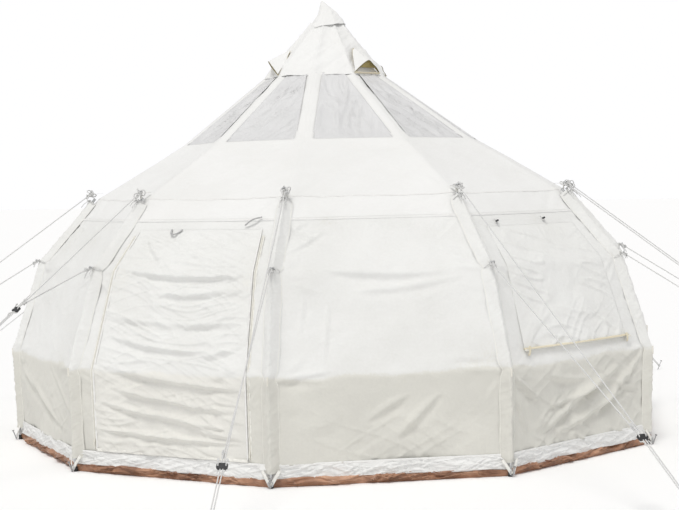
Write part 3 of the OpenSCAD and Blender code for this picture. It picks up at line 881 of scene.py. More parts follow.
def make_roof():
    """One cloth from the seam band over the eave up to the rim, with the net windows cut."""
    inner = 34
    rows_low, rows_high = 70, 80
    run = np.concatenate([np.linspace(run_at(BAND_Z) - 0.012, run_at(NET_Z), rows_low)[:-1],
                          np.linspace(run_at(NET_Z), run_at(RIM_Z - 0.004), rows_high)])
    half = half_width(run)
    columns = 6 + inner
    walls = np.repeat(np.arange(SIDES), columns)
    u = np.zeros((len(run), columns))
    edge = 1 - RIB_W / half
    for k in range(3):
        u[:, k] = -1 + (1 - edge) * k / 3
        u[:, columns - 3 + k] = edge + (1 - edge) * k / 3
    for k in range(inner):
        u[:, 3 + k] = edge * (-1 + 2 * k / inner)
    u = np.tile(u, SIDES)
    run2 = np.repeat(run[:, None], u.shape[1], 1)
    walls2 = np.broadcast_to(walls, u.shape)
    x = ring_x(walls2, u, run2)
    inside = 1 - np.abs(u) ** 4
    lift = -0.016 * inside + slack(x, run2, 610, 0.006) * inside
    lift += 0.003 * creases(x, run2, 620, 1.2, 0.5, 0.09) * inside
    below = np.exp(-np.abs(run2 - run_at(NET_Z)) / 0.10) * (run2 < run_at(NET_Z))
    lift += 0.007 * lattice_noise(x / 0.075, run2 * 0.8, 631) * below * inside
    local = u * profile_at(run2)[0] * S_HALF
    rng = np.random.default_rng(651)
    for i in range(SIDES):
        here = (walls2 == i) * inside
        for k in range(9):
            side = -1 if k % 2 else 1
            start = (side * float(half_width(run_at(EAVE[1]))) * 0.97,
                     run_at(EAVE[1]) + rng.uniform(-0.02, 0.03))
            angle = math.radians(rng.uniform(35, 88) if k < 6 else rng.uniform(-60, -15))
            long = rng.uniform(0.18, 0.45)
            end = (start[0] - side * long * math.cos(angle), start[1] + long * math.sin(angle))
            lift += here * fold(local, run2, start, end, rng.uniform(0.004, 0.009),
                                rng.uniform(0.012, 0.024), rng.uniform(-0.015, 0.015))
    eave_pull = np.exp(-((run2 - run_at(EAVE[1])) / 0.09) ** 2)
    lift += 0.004 * lattice_noise(x / 0.07 + run2 * 4, run2 * 2.0, 641) * eave_pull * inside
    lift *= np.clip((run2 - run[0]) / 0.05, 0, 1)
    lift = lift * (1 - np.exp(-((run2 - run_at(NET_Z)) / 0.07) ** 2)) + 0.0022
    note_seam(walls2, u, run2, lift, int(np.argmin(np.abs(run - run_at(EAVE[1])))), 0.011)
    note_seam(walls2, u, run2, lift, 1, 0.012)
    points = leaned(ring_points(walls2, u, run2, lift))
    columns_all = u.shape[1]
    position = np.tile(np.arange(columns), SIDES)
    window = (position >= 3) & (position < 3 + inner)
    keep = np.ones((len(run) - 1, columns_all), bool)
    keep[rows_low - 1:, window] = False
    uvs = np.stack([x, run2], -1)
    roof = grid_object("Roof_canvas", points, uvs, WHITE_CANVAS, CLOTH, closed=True, keep=keep)
    settle(roof, "white_canvas", "roof_canvas", "roof_ribs", "eave_band")


make_roof()


def make_roof_net():
    pieces = []
    for i in range(SIDES):
        u, run, x = wall_grid(spread(-1, 1, 36), NET_Z - 0.012, RIM_Z - 0.004, 60)
        half = half_width(run)
        share = 1 - (RIB_W - 0.012) / half
        x = x * share
        inside = (1 - np.abs(u) ** 4) * (1 - np.abs(2 * (run - run[0, 0]) / (
            run[-1, 0] - run[0, 0]) - 1) ** 4)
        tilt = 0.9 if i in (0, 1, 9, 8) else 1.9 if i in (3, 4) else 1.4
        gain = 1.0 if i in (2, 7) else 1.9
        lift = -0.026 * inside + gain * 0.020 * creases(x, run, 700 + i, tilt, 0.5, 0.06) * inside
        lift += gain * 0.012 * creases(x, run, 740 + i, tilt + 0.25, 0.35, 0.035) * inside
        lift += 0.006 * lattice_noise(x / 0.06, run / 0.4, 720 + i) * inside - 0.0015
        lift = np.minimum(lift, -0.0012)
        points = leaned(on_wall(i, u * share, run, lift))
        pieces.append(grid_object(f"net_{i}", points, np.stack([x, run], -1), NET))
    net = joined("Roof_net", pieces)
    thicken(net, NET_CLOTH)
    settle(net, "net", "roof_net")


make_roof_net()


def make_hem():
    """Gathered white hem that covers the joint between canvas and groundsheet."""
    walls, u, run = ring_grid(spread(-1, 1, 200, False), UPSTAND_H - 0.012, HEM_Z + 0.006, 22)
    x = ring_x(walls, u, run)
    foot, top = run[0, 0], run[-1, 0]
    t = (run - foot) / (top - foot)
    belly = np.sin(np.pi * np.clip(t, 0, 1)) ** 0.6
    gathers = 0.009 * creases(x, run, 801, 0.26, 0.22, 0.012)
    gathers += 0.008 * creases(x, run, 804, -0.20, 0.26, 0.014)
    gathers += lattice_noise(x / 0.11 + t * 2.6, t * 1.4, 802) * 0.004
    lift = 0.005 + gathers * (0.25 + 0.75 * belly) + 0.005 * (1 - t)
    lift = np.maximum(lift, 0.0035)
    note_seam(walls, u, run, lift, 19, 0.009)
    note_seam(walls, u, run, lift, 2, 0.007)
    points = ring_points(walls, u, run, lift)
    points[..., 2] += 0.006 * lattice_noise(x / 0.16, t, 803) * (1 - t)
    hem = grid_object("Hem_band", points, np.stack([x, run], -1), WHITE_CANVAS, CLOTH, True)
    settle(hem, "white_canvas", "hem_band")


make_hem()


def make_groundsheet():
    walls, u, run = ring_grid(spread(-1, 1, 140, False), 0.0, UPSTAND_H + 0.004, 22)
    x = ring_x(walls, u, run)
    t = (run - run[0, 0]) / (run[-1, 0] - run[0, 0])
    inside = 1 - np.abs(u) ** 8
    lift = 0.012 * np.sin(np.pi * t) + 0.016 * rough_noise(x / 0.24, t * 1.4, 811) * inside
    lift += 0.030 * (creases(x, run, 812, 0.18, 0.35, 0.022) - 0.3) * inside
    lift += 0.020 * creases(x, run, 813, -0.35, 0.22, 0.020) * inside
    lift += 0.012 * creases(x, run, 814, 1.0, 0.10, 0.030) * inside * np.exp(
        -np.abs(np.abs(u) - 1) / 0.12)
    lift = lift * (0.12 + 0.88 * np.sin(np.pi * np.clip(t, 0, 1)) ** 0.6) + 0.008 * (1 - t)
    points = ring_points(walls, u, run, lift)
    points[..., 2] = np.maximum(points[..., 2], 0.0006)
    points[0, :, 2] = 0.0006
    wall = grid_object("Groundsheet_upstand", points, np.stack([x, run], -1), COATED, 0.0010,
                       True)
    settle(wall, "groundsheet", "groundsheet_upstand")

    rings = np.linspace(0.02, 1, 46)
    shares = np.linspace(-1, 1, 24, endpoint=False)
    radius = (PROFILE[0][0] - 0.012) * C_HALF
    local = np.array([[[radius * k, s * radius * k * T_HALF, 0] for s in shares] for k in rings])
    sheet = np.concatenate([turned(local, wall_az(i)) for i in range(SIDES)], 1)
    px, py = sheet[..., 0], sheet[..., 1]
    rise = 0.0028 + 0.0014 * np.clip(rough_noise(px / 0.5, py / 0.5, 821), -1, 1)
    rise += 0.004 * creases(px, py, 822, 0.4, 0.9, 0.12) * (1 - rings[:, None] ** 8)
    sheet[..., 2] = np.maximum(rise, 0.0012)
    floor = grid_object("Groundsheet_floor", sheet, sheet[..., :2].copy(), COATED, 0.0010, True)
    settle(floor, "groundsheet", "groundsheet_floor")


make_groundsheet()


# ---------------------------------------------------------------- cap and vents
SKIRT_FOOT, SKIRT_TOP = (0.488, 2.760), (0.118, 3.190)
HOOD_L, HOOD_W, HOOD_H = 0.250, 0.128, 0.066


def on_cone(i, u, t, lift, foot=SKIRT_FOOT, top=SKIRT_TOP):
    """Points of the cap over wall i, t from its rim to its top."""
    r = foot[0] + (top[0] - foot[0]) * t
    z = foot[1] + (top[1] - foot[1]) * t
    normal = unit([top[1] - foot[1], -(top[0] - foot[0]) * C_HALF])
    x = r * C_HALF
    local = np.stack(np.broadcast_arrays(x + normal[0] * lift, u * x * T_HALF,
                                         z + normal[1] * lift), -1)
    return leaned(turned(local, wall_az(i)))


def make_cap():
    columns, rows = 22, 60
    shares = np.tile(np.linspace(-1, 1, columns, endpoint=False), SIDES)
    walls = np.repeat(np.arange(SIDES), columns)
    t = np.linspace(-0.02, 0.985, rows)
    u2, t2 = np.meshgrid(shares, t)
    walls2 = np.broadcast_to(walls, u2.shape)
    r = SKIRT_FOOT[0] + (SKIRT_TOP[0] - SKIRT_FOOT[0]) * t2
    x = (u2 + 2 * walls2) * r * S_HALF
    slope = math.dist(SKIRT_FOOT, SKIRT_TOP)
    y = t2 * slope
    inside = 1 - np.abs(u2) ** 3
    flare = np.exp(-np.clip(t2, 0, 1) / 0.09)
    lift = -0.010 * inside * (1 - flare) - 0.011 * flare
    lift += 0.006 * rough_noise(x / 0.16, y / 0.20, 901) * (0.4 + inside)
    lift += 0.007 * creases(x, y, 902, 1.3, 0.35, 0.05) * (1 - flare)
    lift += 0.003 * lattice_noise(x / 0.12, t2, 903) * flare
    points = all_round(on_cone, walls, u2, t2, lift)
    skirt = grid_object("Cap_skirt", points, np.stack([x, y], -1), WHITE_CANVAS, 0.0014, True)
    settle(skirt, "white_canvas", "cap_skirt")

    rows = 34
    t = np.linspace(-0.26, 0.985, rows)
    u2, t2 = np.meshgrid(shares, t)
    foot, top = (SKIRT_TOP[0] + 0.001, SKIRT_TOP[1] + 0.002), (0.0, PEAK_Z)
    r = foot[0] * (1 - t2)
    slope = math.dist(foot, top)
    x = (u2 + 2 * walls2[:1]) * r * S_HALF
    y = t2 * slope
    lift = 0.0035 + 0.003 * rough_noise(x / 0.05, y / 0.08, 911) * (1 - np.clip(t2, 0, 1))
    lift += 0.0015 * creases(x, y, 912, 1.4, 0.15, 0.03)
    points = all_round(on_cone, walls, u2, t2, lift, foot, top)
    tilt = 0.15 * (points[..., :2] @ -LEAN_WAY + LEAN_BY[2])
    points[..., 2] += tilt * (1 - np.clip(t2, 0, 1))
    points[..., 2] = np.minimum(points[..., 2], PEAK_Z)
    peak = grid_object("Cap_peak", points, np.stack([x, y], -1), WHITE_CANVAS, 0.0014, True)
    settle(peak, "white_canvas", "cap_peak")


make_cap()


def hood_grid(i, shrink, back, z_out):
    """An arched hood on the cap over wall i, from its mouth at the rim up to a point."""
    s = np.linspace(0, 1, 26)[:, None]
    a = np.linspace(0, math.pi, 30)[None, :]
    t = 1 - 2 * a / math.pi
    narrow = (1 - s) ** 0.8
    side = t * ((HOOD_W - shrink) * narrow + 0.004)
    arch = 1 - np.abs(t) ** 1.3
    out = arch * ((HOOD_H - shrink) * narrow + 0.003)
    along = s * HOOD_L + back + 0.062 * arch * (1 - s)
    if i == 0:
        out = out * 1.25
        along = along + (0.050 * (1 - t) - 0.042 * arch) * (1 - s)
    sag = 0.004 * lattice_noise(a * 2 + 3 * i, s * 5, 921 + i)
    foot = np.array([SKIRT_FOOT[0] * C_HALF, SKIRT_FOOT[1]])
    top = np.array([SKIRT_TOP[0] * C_HALF, SKIRT_TOP[1]])
    e = unit(top - foot)
    n = np.array([e[1], -e[0]])
    base = foot[None, None] + along[..., None] * e + (out + sag + z_out)[..., None] * n
    local = np.stack([base[..., 0], side, base[..., 1]], -1)
    uvs = np.stack(np.broadcast_arrays(a * HOOD_W, s * HOOD_L), -1)
    return leaned(turned(local, wall_az(i))), uvs


def make_hoods():
    outer, inner, edges, nets = [], [], [], []
    for i in VENT_WALLS:
        points, uvs = hood_grid(i, 0.0, 0.0, 0.006)
        outer.append(grid_object(f"hood_{i}", points, uvs, WHITE_CANVAS, 0))
        edges.append(tube(f"hood_edge_{i}", spaced(points[0], 0.006), 0.0036, DARK_KHAKI, 8))
        lining, uvs = hood_grid(i, 0.004, 0.002, 0.004)
        inner.append(grid_object(f"lining_{i}", lining, uvs, KHAKI, 0, flip=True))
        foot = spaced([points[0][0], points[0][-1]], 0.01)
        edges.append(strap(f"hood_foot_{i}", foot, turned([0.6, 0, -0.8], wall_az(i)), 0.018,
                           0.003, BAR_CANVAS, 0.3))
        mouth = lining[5]
        middle = (mouth[0] + mouth[-1]) / 2
        k = np.linspace(0.02, 1, 14)[:, None, None]
        disc = middle + (mouth[None] - middle) * k
        nets.append(grid_object(f"vent_net_{i}", disc, disc[..., :2].copy(), KHAKI_NET, 0))
    hood = joined("Vent_hoods", outer + inner)
    thicken(hood, 0.001)
    piping = joined("Vent_piping", edges)
    net = joined("Vent_net", nets)
    thicken(net, NET_CLOTH)
    settle(hood, "hood", "vent_hoods")
    settle(piping, "hood")
    settle(net, "net", "vent_net")


make_hoods()


# ---------------------------------------------------------------- pole sleeves and corners
def at_corner(i, rz, side=0.0):
    rz = np.asarray(rz, float)
    return turned(np.stack(np.broadcast_arrays(rz[..., 0], side, rz[..., 1]), -1), corner_az(i))


SLEEVE_W, SLEEVE_H = 0.060, POLE_GAP + 0.0155


def sleeve_surface(i, run, v):
    """Points of the soft sleeve over the pole at corner i, v from -1 to 1 across it."""
    pinch = sum(np.exp(-((run - level) / 0.030) ** 2) for level in LEVELS)
    pinch = np.clip(pinch + np.exp(-(RUN_TOP - run) / 0.04), 0, 1)
    crumple = 0.0030 * rough_noise(v * 1.4 + i * 5, run / 0.07, 1000 + i)
    crumple += 0.005 * creases(v * 0.06, run, 1020 + i, 0.7, 0.12, 0.026)
    crumple += 0.004 * lattice_noise(v * 3.0, run / 0.018 + v * 2, 1040 + i) * pinch
    wander = 0.006 * lattice_noise(run / 0.30, run * 0 + 0.5 + i, 1060)
    side = v * SLEEVE_W * (1 - 0.30 * pinch) + wander * (1 - np.abs(v)) + 0.002 * np.sin(
        run * 23 + 4 * v + i)
    hump = np.cos(np.clip(np.abs(v), 0, 1) * math.pi / 2) ** 1.5
    out = 0.0028 + SLEEVE_H * hump + crumple * np.sqrt(np.clip(1.02 - v ** 2, 0, 1))
    r, z, nr, nz = profile_at(run)
    reach = out - np.abs(side) * T_HALF * nr
    return turned(np.stack([r + nr * reach, side, z + nz * reach], -1), corner_az(i))


RUN_TOP = run_at(EAVE[1]) - 0.045


def make_sleeve(i):
    run, v = np.meshgrid(np.arange(HEM_RUN - 0.05, RUN_TOP, 0.007), np.linspace(-1, 1, 34),
                         indexing="ij")
    points = sleeve_surface(i, run, v)
    uvs = np.stack([v * 0.08, run], -1)
    parts = [grid_object(f"sleeve_{i}", points, uvs, CANVAS, 0)]
    line = np.arange(HEM_RUN - 0.03, RUN_TOP, 0.012)
    for s in (-0.90, 0.90):
        seam = sleeve_surface(i, line, np.full_like(line, s))
        out = sleeve_surface(i, line, np.full_like(line, s * 0.8)) - seam
        parts.append(tube(f"piping_{i}_{s}", seam + unit(out) * 0.001, 0.0016, TAPE, 6))
    return parts


def make_sleeves():
    parts = [p for i in range(SIDES) for p in make_sleeve(i)]
    sleeves = joined("Pole_sleeves", parts)
    settle(sleeves, "canvas", "pole_sleeves")


make_sleeves()


def tie(name, i, centre, normal, seed):
    """A cord tied over a sleeve at a corner, with its two ends hanging."""
    rng = np.random.default_rng(seed)
    t = np.linspace(-0.08 * math.pi, 1.08 * math.pi, 25)
    n2 = unit(normal)
    e2 = np.array([-n2[1], n2[0]])
    out = -0.012 + (SLEEVE_H + 0.018) * np.sin(t)
    slant = 0.010 * np.cos(t)
    rz = centre + out[:, None] * n2 + slant[:, None] * e2
    side = np.cos(t) * 0.037
    pieces = [rope_tube(name + "_band", at_corner(i, rz, side), 0.0030)]
    knot_at = centre + n2 * (SLEEVE_H + 0.012)
    pieces.append(overhand_knot(name + "_knot", at_corner(i, knot_at), turned(
        [0, 1, 0.2], corner_az(i)), 0.017, 0.0036))
    for s in (-1, 1):
        drop = rng.uniform(0.05, 0.09)
        k = np.linspace(0, 1, 9)
        rz = knot_at + np.outer(np.sin(k * 2.2) * 0.012, n2) - np.outer(k * drop, e2)
        away = s * (0.006 + 0.018 * k + 0.005 * np.sin(k * 5))
        pieces.append(rope_tube(f"{name}_end_{s}", at_corner(i, rz, away), 0.0030))
    return pieces


def make_corner_fittings():
    tabs, ties, webbing = [], [], []
    for i in range(SIDES):
        for p, n, gap in ((np.array(EAVE), segment_normal(2), EAVE_RING_GAP),
                          (np.array(SHOULDER), unit(segment_normal(1) + segment_normal(2)),
                           SHOULDER_RING_GAP)):
            e = np.array([-n[1], n[0]])
            t = np.linspace(0, 1, 26)
            reach = gap - 0.012
            out = 0.004 + (reach - 0.004) * np.sin(np.pi * t) ** 0.55
            along = -0.055 + 0.11 * t
            along = along * (1 - 0.82 * np.sin(np.pi * t) ** 0.8)
            rz = p + out[:, None] * n + along[:, None] * e
            path = at_corner(i, rz)
            step = np.gradient(rz, axis=0)
            turn = unit(np.stack([-step[:, 1], step[:, 0]], -1))
            normals = turned(np.stack([turn[:, 0], 0 * t, turn[:, 1]], -1), corner_az(i))
            tabs.append(strap(f"tab_{i}_{gap}", path, normals, 0.024, 0.0016, WEBBING))
        shoulder_n = unit(segment_normal(1) + segment_normal(2))
        ties += tie(f"tie_s_{i}", i, np.array(SHOULDER), shoulder_n, 1100 + i)
        ties += tie(f"tie_e_{i}", i, np.array(EAVE) - np.array([-0.047, 0.052]) * 0.9,
                    segment_normal(2), 1120 + i)
        out_r = PROFILE[0][0] + POLE_GAP + 0.025
        for s in (-1, 1):
            t = np.linspace(0, 1, 18)
            z = 0.018 + 0.092 * t
            side = s * (0.005 + 0.052 * t ** 1.1)
            r = out_r - 0.022 * t ** 1.5 - np.abs(side) * 0.10
            path = turned(np.stack([r, side, z], -1), corner_az(i))
            n = turned([1, s * 0.3, 0.1], corner_az(i))
            webbing.append(strap(f"web_{i}_{s}", path, n, 0.022,
                                 0.0018, WEBBING))
    settle(joined("Guy_tabs", tabs), "webbing", "guy_tabs")
    settle(joined("Sleeve_ties", ties), "rope")
    settle(joined("Corner_webbing", webbing), "webbing", "corner_webbing")


make_corner_fittings()


# ---------------------------------------------------------------- seams
def make_seams():
    seams = joined("Seam_tapes", [
        strap(f"seam_{k}", path, out, width, 0.0010, SEAM, 0.5)
        for k, (path, out, width) in enumerate(SEAM_PATHS)])
    settle(seams, "webbing")


make_seams()


# ---------------------------------------------------------------- door
DOOR_FOLDS = [
    ((-0.70, 1.36), (0.72, 1.33), 15, 22, 34), ((-0.30, 1.20), (0.74, 1.24), 11, 24, 16),
    ((-0.74, 1.05), (0.72, 1.02), 10, 26, 26), ((-0.72, 0.93), (0.30, 0.83), 12, 24, 20),
    ((-0.75, 0.74), (0.74, 0.62), 15, 24, 26), ((-0.62, 0.60), (0.70, 0.47), 11, 24, 22),
    ((-0.74, 0.50), (0.60, 0.36), 15, 22, 22), ((-0.20, 0.40), (0.74, 0.30), 9, 22, 10),
    ((-0.74, 0.31), (0.72, 0.265), 13, 18, 12), ((0.10, 0.98), (0.75, 1.12), 8, 20, 14),
    ((-0.60, 1.56), (-0.25, 1.38), 7, 18, 0), ((0.35, 0.80), (0.75, 0.90), 8, 18, 8),
]


def pinch_along(x, y, edge, seed, amount, size=0.05, reach=0.09):
    """Puckers that a zip makes along the side seam at x = edge."""
    gap = np.abs(x - edge)
    wave = lattice_noise(y / size + gap * 4, np.full_like(y, 0.5), seed)
    return amount * np.clip(wave, -0.4, 1) * np.exp(-gap / reach)


def make_door():
    u, run, x = wall_grid(spread(-DOOR_U, DOOR_U, 130), HEM_Z + 0.006, DOOR_TOP, 240)
    half = half_width(run)
    inside = 1 - (np.abs(u) / DOOR_U) ** 10
    top_fade = np.clip((run[-1, 0] - run) / 0.05, 0, 1)
    lift = listed_folds(DOOR_FOLDS, DOOR_FOLD_GAIN, x, run)
    lift += slack(x, run, 1201, 0.012)
    lift += 0.009 * creases(x, run, 1202, -0.12, 0.55, 0.05)
    lift += 0.006 * creases(x, run, 1203, 0.30, 0.35, 0.045)
    lift += 0.006 * creases(x, run, 1204, -0.45, 0.30, 0.040)
    lift *= inside
    for side in (-1, 1):
        lift += pinch_along(x, run, side * DOOR_U * half, 1210 + side, 0.009)
    lift = (lift + 0.012 * inside) * top_fade + 0.004
    lift = 0.003 + np.maximum(lift - 0.003, 0.12 * (lift - 0.003))
    lift = np.clip(lift, 0.002, 0.060)
    points = on_wall(DOOR_WALL, u, run, lift)
    flap = grid_object("Door_flap", points, np.stack([x, run], -1), FLAP_CANVAS, CLOTH)
    parts = []
    for side in (-1, 1):
        rows = np.arange(HEM_RUN + 0.012, run_at(DOOR_TOP) - 0.02, 0.008)
        edge = side * DOOR_U * np.ones_like(rows)
        path = on_wall(DOOR_WALL, edge * 0.994, rows, 0.0065)
        n = unit(on_wall(DOOR_WALL, edge, rows, 0.02) - on_wall(DOOR_WALL, edge, rows, 0.0))
        parts.append(strap(f"door_edge_{side}", path, n, 0.012, 0.0016, SEAM, 0.6))
    us = np.linspace(-DOOR_U, DOOR_U, 60)
    low = np.full_like(us, HEM_RUN + 0.016)
    path = on_wall(DOOR_WALL, us, low, 0.010)
    n = unit(on_wall(DOOR_WALL, us, low, 0.03) - on_wall(DOOR_WALL, us, low, 0.0))
    parts.append(strap("door_foot", path, n, 0.022, 0.0022, TAPE, 0.4))
    trim = joined("Door_flap_binding", parts)
    settle(flap, "canvas", "door_flap", body="door")
    settle(trim, "webbing", body="door")


make_door()


def make_zips():
    """Two zips beside the door, each a tape with two rows of teeth."""
    tapes, teeth = [], []
    rows = np.arange(HEM_RUN + 0.012, run_at(DOOR_TOP) - 0.055, 0.008)
    for side in (-1, 1):
        def zip_line(shift, lift, at=rows):
            r = profile_at(at)[0]
            share = side * (DOOR_U + shift / (r * S_HALF))
            return on_wall(DOOR_WALL, share, at, lift)
        n = unit(zip_line(0.016, 0.02) - zip_line(0.016, 0.0))
        tapes.append(strap(f"zip_tape_{side}", zip_line(0.0155, 0.0012), n, 0.025, 0.001, TAPE))
        fine = np.arange(rows[0], rows[-1], 0.006)
        for offset in (-0.0016, 0.0016):
            at = fine + (0.003 if offset > 0 else 0)
            a, b = zip_line(0.0155 + offset - 0.0022, 0.0026, at), zip_line(
                0.0155 + offset + 0.0022, 0.0026, at)
            out = unit(zip_line(0.0155, 0.02, at) - zip_line(0.0155, 0.0, at)) * 0.0018
            long = unit(np.gradient(a, axis=0)) * 0.0015
            corners = np.stack([a - long, b - long, b + long, a + long, a - long + out,
                                b - long + out, b + long + out, a + long + out], 1)
            faces = []
            for k in range(len(at)):
                q = 8 * k
                faces += [(q, q + 3, q + 2, q + 1), (q + 4, q + 5, q + 6, q + 7),
                          (q, q + 1, q + 5, q + 4), (q + 1, q + 2, q + 6, q + 5),
                          (q + 2, q + 3, q + 7, q + 6), (q + 3, q, q + 4, q + 7)]
            flat = corners.reshape(-1, 3)
            teeth.append(new_object(f"teeth_{side}_{offset}", flat, faces, flat[:, :2].copy(),
                                    ZIP_PLASTIC, False))
    settle(joined("Zip_tapes", tapes), "zip", "door_zip_tapes")
    settle(joined("Zip_teeth", teeth), "zip")


make_zips()


def roll_loop(name, i, share, z, reach, droop, rise, body):
    """A soft loop that holds a rolled-up flap, hanging from its stitched ends."""
    t = np.linspace(0, 1, 22)
    run0 = run_at(z)
    r = float(profile_at(run0)[0])
    s = share + (t - 0.5) * reach / (r * S_HALF)
    run = run0 - droop * np.sin(np.pi * t) ** 0.7 + rise * t
    lift = 0.016 + 0.018 * np.sin(np.pi * t)
    path = on_wall(i, s, run, lift)
    loop = tube(name, path, 0.0055, LOOP, 10, 2, 0.03, (1.4, 0.8))
    settle(loop, "webbing", body=body)


LOOP = webbing_material("Webbing_loop", (0.50, 0.50, 0.50), (0.38, 0.38, 0.38))
roll_loop("Door_loop_left", DOOR_WALL, -0.28, 1.615, 0.085, 0.055, 0.0, TENT)
roll_loop("Door_loop_right", DOOR_WALL, 0.66, 1.640, 0.115, 0.002, 0.070, TENT)


# ---------------------------------------------------------------- window flaps
def make_window(k):
    i, body = WINDOW_WALLS[k], f"window_flap_{k + 1}"
    u, run, x = wall_grid(spread(-WINDOW_U, WINDOW_U, 100), WINDOW_FOOT, WINDOW_TOP, 120)
    seed = 1300 + 20 * k
    inside = 1 - (np.abs(u) / WINDOW_U) ** 10
    up = run[-1, 0] - run
    top_fade = np.clip(up / 0.06, 0, 1)
    down = run - run[0, 0]
    lift = slack(x, run, seed, 0.012)
    lift += 0.014 * creases(x, run, seed + 1, 0.75, 0.35, 0.06) * np.exp(-down / 0.30)
    lift += 0.010 * creases(x, run, seed + 2, -0.35, 0.40, 0.07)
    lift += 0.007 * creases(x, run, seed + 3, 1.45, 0.35, 0.06) * np.exp(-up / 0.25)
    lift += 0.004 * lattice_noise(x / 0.05 + down * 5, down / 0.15, seed + 5) * np.exp(
        -down / 0.07)
    half = half_width(run)
    lift += 0.010 * creases(x, run, seed + 6, 0.45, 0.22, 0.05) * np.exp(
        -(half * WINDOW_U - np.abs(x)) / 0.16)
    lift *= inside * np.clip(down / 0.03 + 0.3, 0, 1)
    for side in (-1, 1):
        lift += pinch_along(x + side * 0.25 * down, run, side * WINDOW_U * half, seed + 7 + side,
                            0.002, 0.045, 0.10) * inside
    lift = (lift + 0.008 * inside) * top_fade + 0.003
    lift = np.clip(0.003 + np.maximum(lift - 0.003, 0.15 * (lift - 0.003)), 0.002, 0.050)
    points = on_wall(i, u, run, lift)
    flap = grid_object(f"Window_flap_{k + 1}", points, np.stack([x, run], -1), FLAP_CANVAS,
                       CLOTH)
    settle(flap, "canvas", f"window_flap_{k + 1}", body=body)
    half = float(half_width(run_at(WINDOW_FOOT))) * WINDOW_U
    z_bar = WINDOW_FOOT + 0.012
    foot = float(profile_at(run_at(z_bar))[0]) * C_HALF
    ys = np.linspace(-half - 0.005, half + 0.005, 60)
    wave = 0.002 * lattice_noise(ys / 0.12, ys * 0 + 0.5, seed + 9)
    local = np.stack([foot + 0.014 + wave, ys, z_bar + 0.006 * (ys / half) ** 2 * 0.5], -1)
    parts = [tube(f"bar_{k}", turned(local, wall_az(i)), 0.0095, BAR_CANVAS, 14,
                  shape=(1.5, 0.75))]
    for s in (-1, 1):
        t = np.linspace(0, 1, 16)
        y0 = s * (half - 0.028)
        tab = np.stack([foot + 0.026 + 0.006 * np.sin(np.pi * t), y0 + s * 0.010 * t,
                        z_bar + 0.020 - 0.062 * t], -1)
        n = turned([1, 0, 0.2], wall_az(i))
        parts.append(strap(f"bar_tab_{k}_{s}", turned(tab, wall_az(i)),
                           n, 0.020, 0.0022, BAR_CANVAS, 0.4))
        y1 = s * (half + 0.004)
        peg = np.stack([np.full(8, foot + 0.030), np.linspace(y1 - 0.02, y1 + 0.014, 8),
                        np.full(8, z_bar - 0.004)], -1)
        parts.append(tube(f"bar_toggle_{k}_{s}", turned(peg, wall_az(i)),
                          [0.004, 0.0065, 0.007, 0.0055, 0.0055, 0.007, 0.0065, 0.004],
                          ZIP_PLASTIC, 12))
    bar = joined(f"Window_bar_{k + 1}", parts)
    settle(bar, "webbing", f"window_bar_{k + 1}", body=body)
    for name, share, z in (("a", -0.56, 1.622), ("b", 0.25, 1.626)):
        make_toggle(f"Window_toggle_{k + 1}{name}", i, share, z)


def make_toggle(name, i, share, z):
    """A black toggle that holds the rolled flap, on a short loop of cord."""
    run0 = run_at(z)
    r = float(profile_at(run0)[0])
    t = np.linspace(0, 1, 10)
    path = on_wall(i, share + (t - 0.5) * 0.034 / (r * S_HALF), run0 + 0.010 * t, 0.020)
    bead = tube(name, path, [0.003, 0.006, 0.0072, 0.0066, 0.005, 0.005, 0.0066, 0.0072, 0.006,
                             0.003], BLACK, 12)
    hang = on_wall(i, share + 0.004 * np.sin(t * 3) / r, run0 + 0.006 - 0.05 * t, 0.016)
    cord = rope_tube(name + "_cord", hang, 0.0022)
    top = on_wall(i, share + 0 * t, run0 + 0.004 + 0.030 * t, 0.016 - 0.011 * t)
    stem = rope_tube(name + "_stem", top, 0.0022)
    piece = joined(name, [bead, cord, stem])
    settle(piece, "runner")


for window in range(3):
    make_window(window)


def make_window_nets():
    parts = []
    for i in WINDOW_WALLS:
        e = WINDOW_U - 0.05
        u, run, x = wall_grid(spread(-e, e, 40), WINDOW_FOOT + 0.03, WINDOW_TOP - 0.03, 50)
        lift = -0.006 + 0.002 * rough_noise(x / 0.2, run / 0.2, 1400 + i)
        parts.append(grid_object(f"wnet_{i}", on_wall(i, u, run, lift), np.stack([x, run], -1),
                                 NET, 0))
    net = joined("Window_net", parts)
    thicken(net, NET_CLOTH)
    settle(net, "net", "window_net")


make_window_nets()


# ---------------------------------------------------------------- CAD nodes that stay
def finish_node(node, material):
    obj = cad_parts[node]
    for slot in obj.material_slots:
        slot.material = material
    if not obj.material_slots:
        obj.data.materials.append(material)


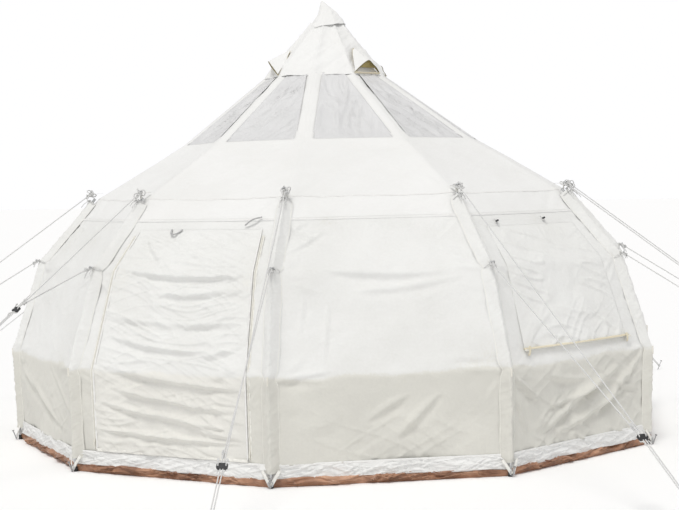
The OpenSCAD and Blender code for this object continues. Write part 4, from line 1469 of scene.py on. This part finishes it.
for name in ("centre_pole_lower", "centre_pole_middle", "centre_pole_upper", "wall_pole_lower",
             "wall_pole_upper", "guy_rings", "corner_rings"):
    finish_node(name, STEEL)
for name in ("corner_pegs", "guy_pegs"):
    finish_node(name, PEG_STEEL)
for name in ["centre_pole_foot", "centre_pole_crown", "wall_pole_feet"] + [
        f"runner_{i + 1}" for i in range(SIDES)]:
    finish_node(name, BLACK)
for name in ("zip_slider_left", "zip_slider_right", "wall_toggles"):
    finish_node(name, ZIP_PLASTIC)


# ---------------------------------------------------------------- floor and light
def make_floor():
    n = Nodes("Floor_pale")
    n.shader.inputs["Base Color"].default_value = (0.95, 0.95, 0.95, 1)
    n.shader.inputs["Roughness"].default_value = 1.0
    n.shader.inputs["Specular IOR Level"].default_value = 0.0
    reach = 150.0
    corners = [(-reach, -reach, -0.0005), (reach, -reach, -0.0005), (reach, reach, -0.0005),
               (-reach, reach, -0.0005)]
    floor = new_object("Floor", corners, [(0, 1, 2, 3)], None, n.material, False)


def make_light():
    world = bpy.data.worlds.new("Studio")
    bpy.context.scene.world = world
    world.use_nodes = True
    tree = world.node_tree
    background = tree.nodes["Background"]
    coords = tree.nodes.new("ShaderNodeTexCoord")
    split = tree.nodes.new("ShaderNodeSeparateXYZ")
    ramp = tree.nodes.new("ShaderNodeValToRGB")
    tree.links.new(coords.outputs["Generated"], split.inputs[0])
    tree.links.new(split.outputs["Z"], ramp.inputs["Fac"])
    tree.links.new(ramp.outputs["Color"], background.inputs["Color"])
    stops = ramp.color_ramp.elements
    stops.new(0.20)
    stops.new(0.36)
    for stop, (place, grey) in zip(stops, ((0.0, 1.0), (0.20, 1.0), (0.36, 0.50), (1.0, 0.60))):
        stop.position, stop.color = place, (grey, grey, grey * 1.015, 1)
    background.inputs["Strength"].default_value = 1.0
    sun = bpy.data.lights.new("Key", "SUN")
    sun.energy, sun.angle, sun.color = 1.6, math.radians(20), (1.0, 0.985, 0.95)
    key = bpy.data.objects.new("Key", sun)
    bpy.context.scene.collection.objects.link(key)
    towards = Vector((0.08, -0.46, 0.88))
    key.rotation_euler = towards.to_track_quat("Z", "Y").to_euler()
    bpy.context.scene.view_settings.view_transform = "Standard"


make_floor()
make_light()
